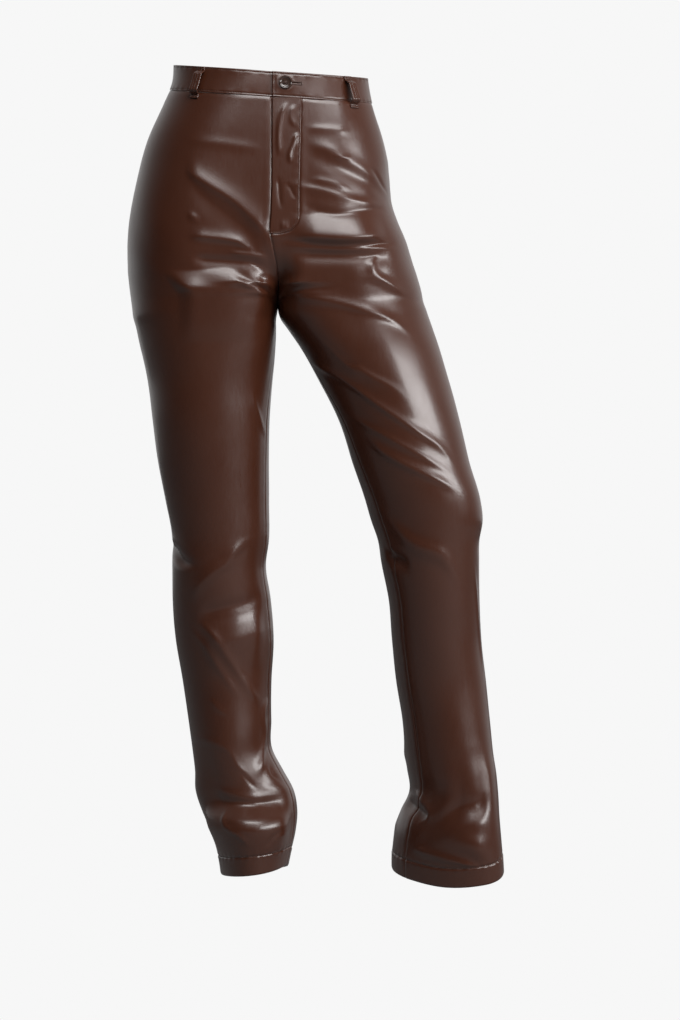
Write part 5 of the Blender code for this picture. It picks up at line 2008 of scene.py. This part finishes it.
@dataclass
class Zip:
    """The zip behind the fly: two tapes, their coil of teeth, the slider and the stops."""

    right: Form
    left: Form
    half_width: float = 13.0
    top_drop: float = 35.0
    low_drop: float = 180.0
    depth: float = 1.78
    tape: float = 0.6
    pitch: float = 1.5
    slider_drop: float = 42.0
    level: float = 100.0
    tape_inset: float = 0.9
    tape_rows: int = 90
    tape_columns: int = 14
    teeth_clear: float = 6.0
    tooth_share: float = 0.8
    tooth_reach: float = 2.2
    tooth_past: float = 0.5
    stop_above: float = 4.5
    flat: tuple[float, float] = (0.012, 0.147)

    def _points(self, drop: np.ndarray, x: np.ndarray, depth: Any) -> np.ndarray:
        """Finds points behind the fronts.

        Args:
            drop: The drops.
            x: The distances to the wearer's left.
            depth: How deep they are.

        Returns:
            The points, in millimetres.
        """
        drop, x, depth = np.broadcast_arrays(drop, x, depth)
        faces = []
        for form in (self.right, self.left):
            across = form.across_at(self.level, np.abs(x))
            behind = form.normal(drop, across) * depth[..., None]
            faces.append(form.point(drop, across) - behind)
        return np.where((x < 0)[..., None], faces[0], faces[1])

    def _add(
        self, name: str, material: bpy.types.Material, blocks: Sequence[Block]
    ) -> bpy.types.Object:
        """Adds small blocks as one piece.

        Args:
            name: The object's name.
            material: Its material.
            blocks: The blocks.

        Returns:
            The object.
        """
        points, faces = [], []
        sides = [[0, 1, 5, 4], [1, 2, 6, 5], [2, 3, 7, 6], [3, 0, 4, 7]]
        box = np.array([[0, 3, 2, 1], [4, 5, 6, 7], *sides])
        for number, block in enumerate(blocks):
            (d0, d1), (x0, x1), (t0, t1) = block.drop, block.x, block.depth
            drop = np.array([d0, d0, d1, d1, d0, d0, d1, d1])
            x = np.array([x0, x1, x1, x0, x0, x1, x1, x0])
            depth = np.array([t0, t0, t0, t0, t1, t1, t1, t1])
            points.append(self._points(drop, x, depth))
            faces.append(box[:, ::-1] + number * 8)
        made = make_object(name, np.concatenate(points), np.concatenate(faces), [material])
        return ride(made, "zip_tape")

    def build(self, palette: Palette) -> None:
        """Builds the tapes, the teeth with their stops, and the slider with its pull."""
        drop = np.linspace(self.top_drop, self.low_drop, self.tape_rows)[:, None]
        for side, word in ((-1, "right"), (1, "left")):
            x = side * np.linspace(self.tape_inset, self.half_width, self.tape_columns)[None, :]
            outer = self._points(drop, x, self.depth)
            inner = self._points(drop, x, self.depth + self.tape)
            made = wall(f"zip_tape_{word}", outer, inner, [palette.tape], side > 0)
            ride(made, "zip_tape", *(["fly_zip"] if side > 0 else []))
        self._add("zip_teeth", palette.metal, self._teeth())
        self._add("zip_slider", palette.metal, self._slider())

    def _teeth(self) -> list[Block]:
        """Returns the teeth of both tapes in turn, then the stops below and above them."""
        blocks = []
        deep = (self.depth + 0.1, self.depth + 1.15)
        first, last = self.slider_drop + self.teeth_clear, self.low_drop - 5
        for step, at in enumerate(np.arange(first, last, self.pitch)):
            side = -1 if step % 2 else 1
            x0, x1 = sorted((side * self.tooth_reach, -side * self.tooth_past))
            blocks.append(Block((at, at + self.pitch * self.tooth_share), (x0, x1), deep))
        deep = (self.depth - 0.1, self.depth + 1.2)
        low = self.low_drop - self.stop_above
        blocks.append(Block((low, low + 3.0), (-2.8, 2.8), deep))
        top = self.top_drop
        for x in (-2.2, 1.0):
            blocks.append(Block((top + 1.5, top + 4.0), (x, x + 1.2), deep))
        return blocks

    def _slider(self) -> list[Block]:
        """Returns the slider's two plates, the neck between them and the pull."""
        at, depth = self.slider_drop, self.depth
        return [
            Block((at, at + 7.5), (-3.4, 3.4), (depth + 1.0, depth + 1.6)),
            Block((at, at + 7.5), (-3.4, 3.4), (depth - 0.42, depth - 0.1)),
            Block((at + 0.5, at + 3.0), (-0.8, 0.8), (depth - 0.1, depth + 1.0)),
            Block((at + 3.0, at + 26.0), (-2.3, 2.3), (depth - 0.5, depth - 0.44)),
        ]


@dataclass(frozen=True)
class Softbox:
    """A rectangular light: its place and size in metres and its power in watts."""

    name: str
    place: tuple[float, float, float]
    size: tuple[float, float]
    power: float


@dataclass
class Studio:
    """The camera, the lights, the floor and the pale surroundings."""

    eye: tuple[float, float, float] = (0.0874, -3.6, -0.5722)
    lens: float = 94.47
    sensor: float = 36.0
    floor: float = -1.171
    floor_half: float = 12000.0
    floor_grey: float = 0.3
    aim: tuple[float, float, float] = (0.09, 0.0, -0.45)
    softboxes: tuple[Softbox, ...] = (
        Softbox("side_softbox", (2.35, -1.6, 0.4), (2.3, 0.65), 74.0),
        Softbox("top_softbox", (0.5, -2.0, 1.9), (2.2, 1.0), 80.0),
    )
    sky_start: float = 0.45
    sky_span: float = 1.1
    sky_strength: float = 0.62
    least_sky: float = 0.05

    def _light(self, box: Softbox) -> None:
        """Adds a softbox that faces the trousers."""
        light = bpy.data.lights.new(box.name, "AREA")
        light.shape, light.size, light.size_y = "RECTANGLE", *box.size
        light.energy = box.power
        lamp = bpy.data.objects.new(box.name, light)
        lamp.location = box.place
        facing = Vector(self.aim) - Vector(box.place)
        lamp.rotation_euler = facing.to_track_quat("-Z", "Y").to_euler()
        bpy.context.scene.collection.objects.link(lamp)

    def build(self) -> None:
        """Makes the studio."""
        scene = bpy.context.scene
        scene.view_settings.view_transform = "Standard"
        camera = bpy.data.cameras.new("camera")
        camera.lens, camera.sensor_width = self.lens, self.sensor
        view = bpy.data.objects.new("camera", camera)
        view.location, view.rotation_euler = self.eye, (QUARTER_TURN, 0.0, 0.0)
        scene.collection.objects.link(view)
        scene.camera = view
        for box in self.softboxes:
            self._light(box)
        self._floor()
        self._world()

    def _floor(self) -> None:
        """Makes the pale floor."""
        half, grey = self.floor_half, self.floor_grey
        corners = np.array([[-half, -half, 0], [half, -half, 0], [half, half, 0], [-half, half, 0]])
        material, graph = new_material("pale_floor")
        lit = graph.node("ShaderNodeBsdfDiffuse", {}, {"Color": (grey, grey, grey, 1)})
        graph.pale("ShaderNodeEmission", lit, "ShaderNodeOutputMaterial")
        points = corners + np.array([0, 0, self.floor / MM])
        make_object("floor", points, np.array([[0, 1, 2, 3]]), [material])

    def _world(self) -> None:
        """Makes the surroundings: pale to look at, and darker on the side the camera stands."""
        world = bpy.data.worlds.new("studio")
        world.use_nodes = True
        bpy.context.scene.world = world
        graph = Graph(world.node_tree)
        direction = graph.signal("ShaderNodeTexCoord", {}, {}, "Generated")
        split = graph.node("ShaderNodeSeparateXYZ", {}, {"Vector": direction})
        depth = Signal(graph, split.outputs["Y"])
        behind = ((depth + self.sky_start) / self.sky_span).clamp()
        strength = behind * behind * self.sky_strength + self.least_sky
        lit = graph.node("ShaderNodeBackground", {}, {"Color": (1, 1, 1, 1), "Strength": strength})
        graph.pale("ShaderNodeBackground", lit, "ShaderNodeOutputWorld")


def main() -> None:
    """Dresses the trousers and reports each piece."""
    logging.basicConfig(level=logging.INFO, format="%(name)s: %(message)s")
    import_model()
    Studio().build()
    palette = Palette.make()
    forms = {
        "right": Form(Side.RIGHT, RIGHT_SECTIONS, RIGHT_HEM, RIGHT_FOLDS),
        "left": Form(Side.LEFT, LEFT_SECTIONS, LEFT_HEM, LEFT_FOLDS),
    }
    right, left = forms["right"], forms["left"]
    fly = Fly(left)
    for side, form in forms.items():
        for half, word in ((Half.FRONT, "front"), (Half.BACK, "back")):
            on_fly = fly if form is left and half is Half.FRONT else None
            LegPanel(form, half, f"{word}_{side}", on_fly).build(palette)
    fly.build(palette)
    band = Waistband(right, left)
    band.build(palette)
    Button(band.place()).build(palette)
    Zip(right, left).build(palette)
    for name, form, across in (
        ("front_right", right, 1.01),
        ("front_left", left, 1.14),
        ("back_right", right, 3.0),
        ("back_left", left, 3.0),
        ("back_centre", left, 4.0),
    ):
        BeltLoop(f"belt_loop_{name}", form, across).build(palette)


if __name__ == "__main__":
    main()
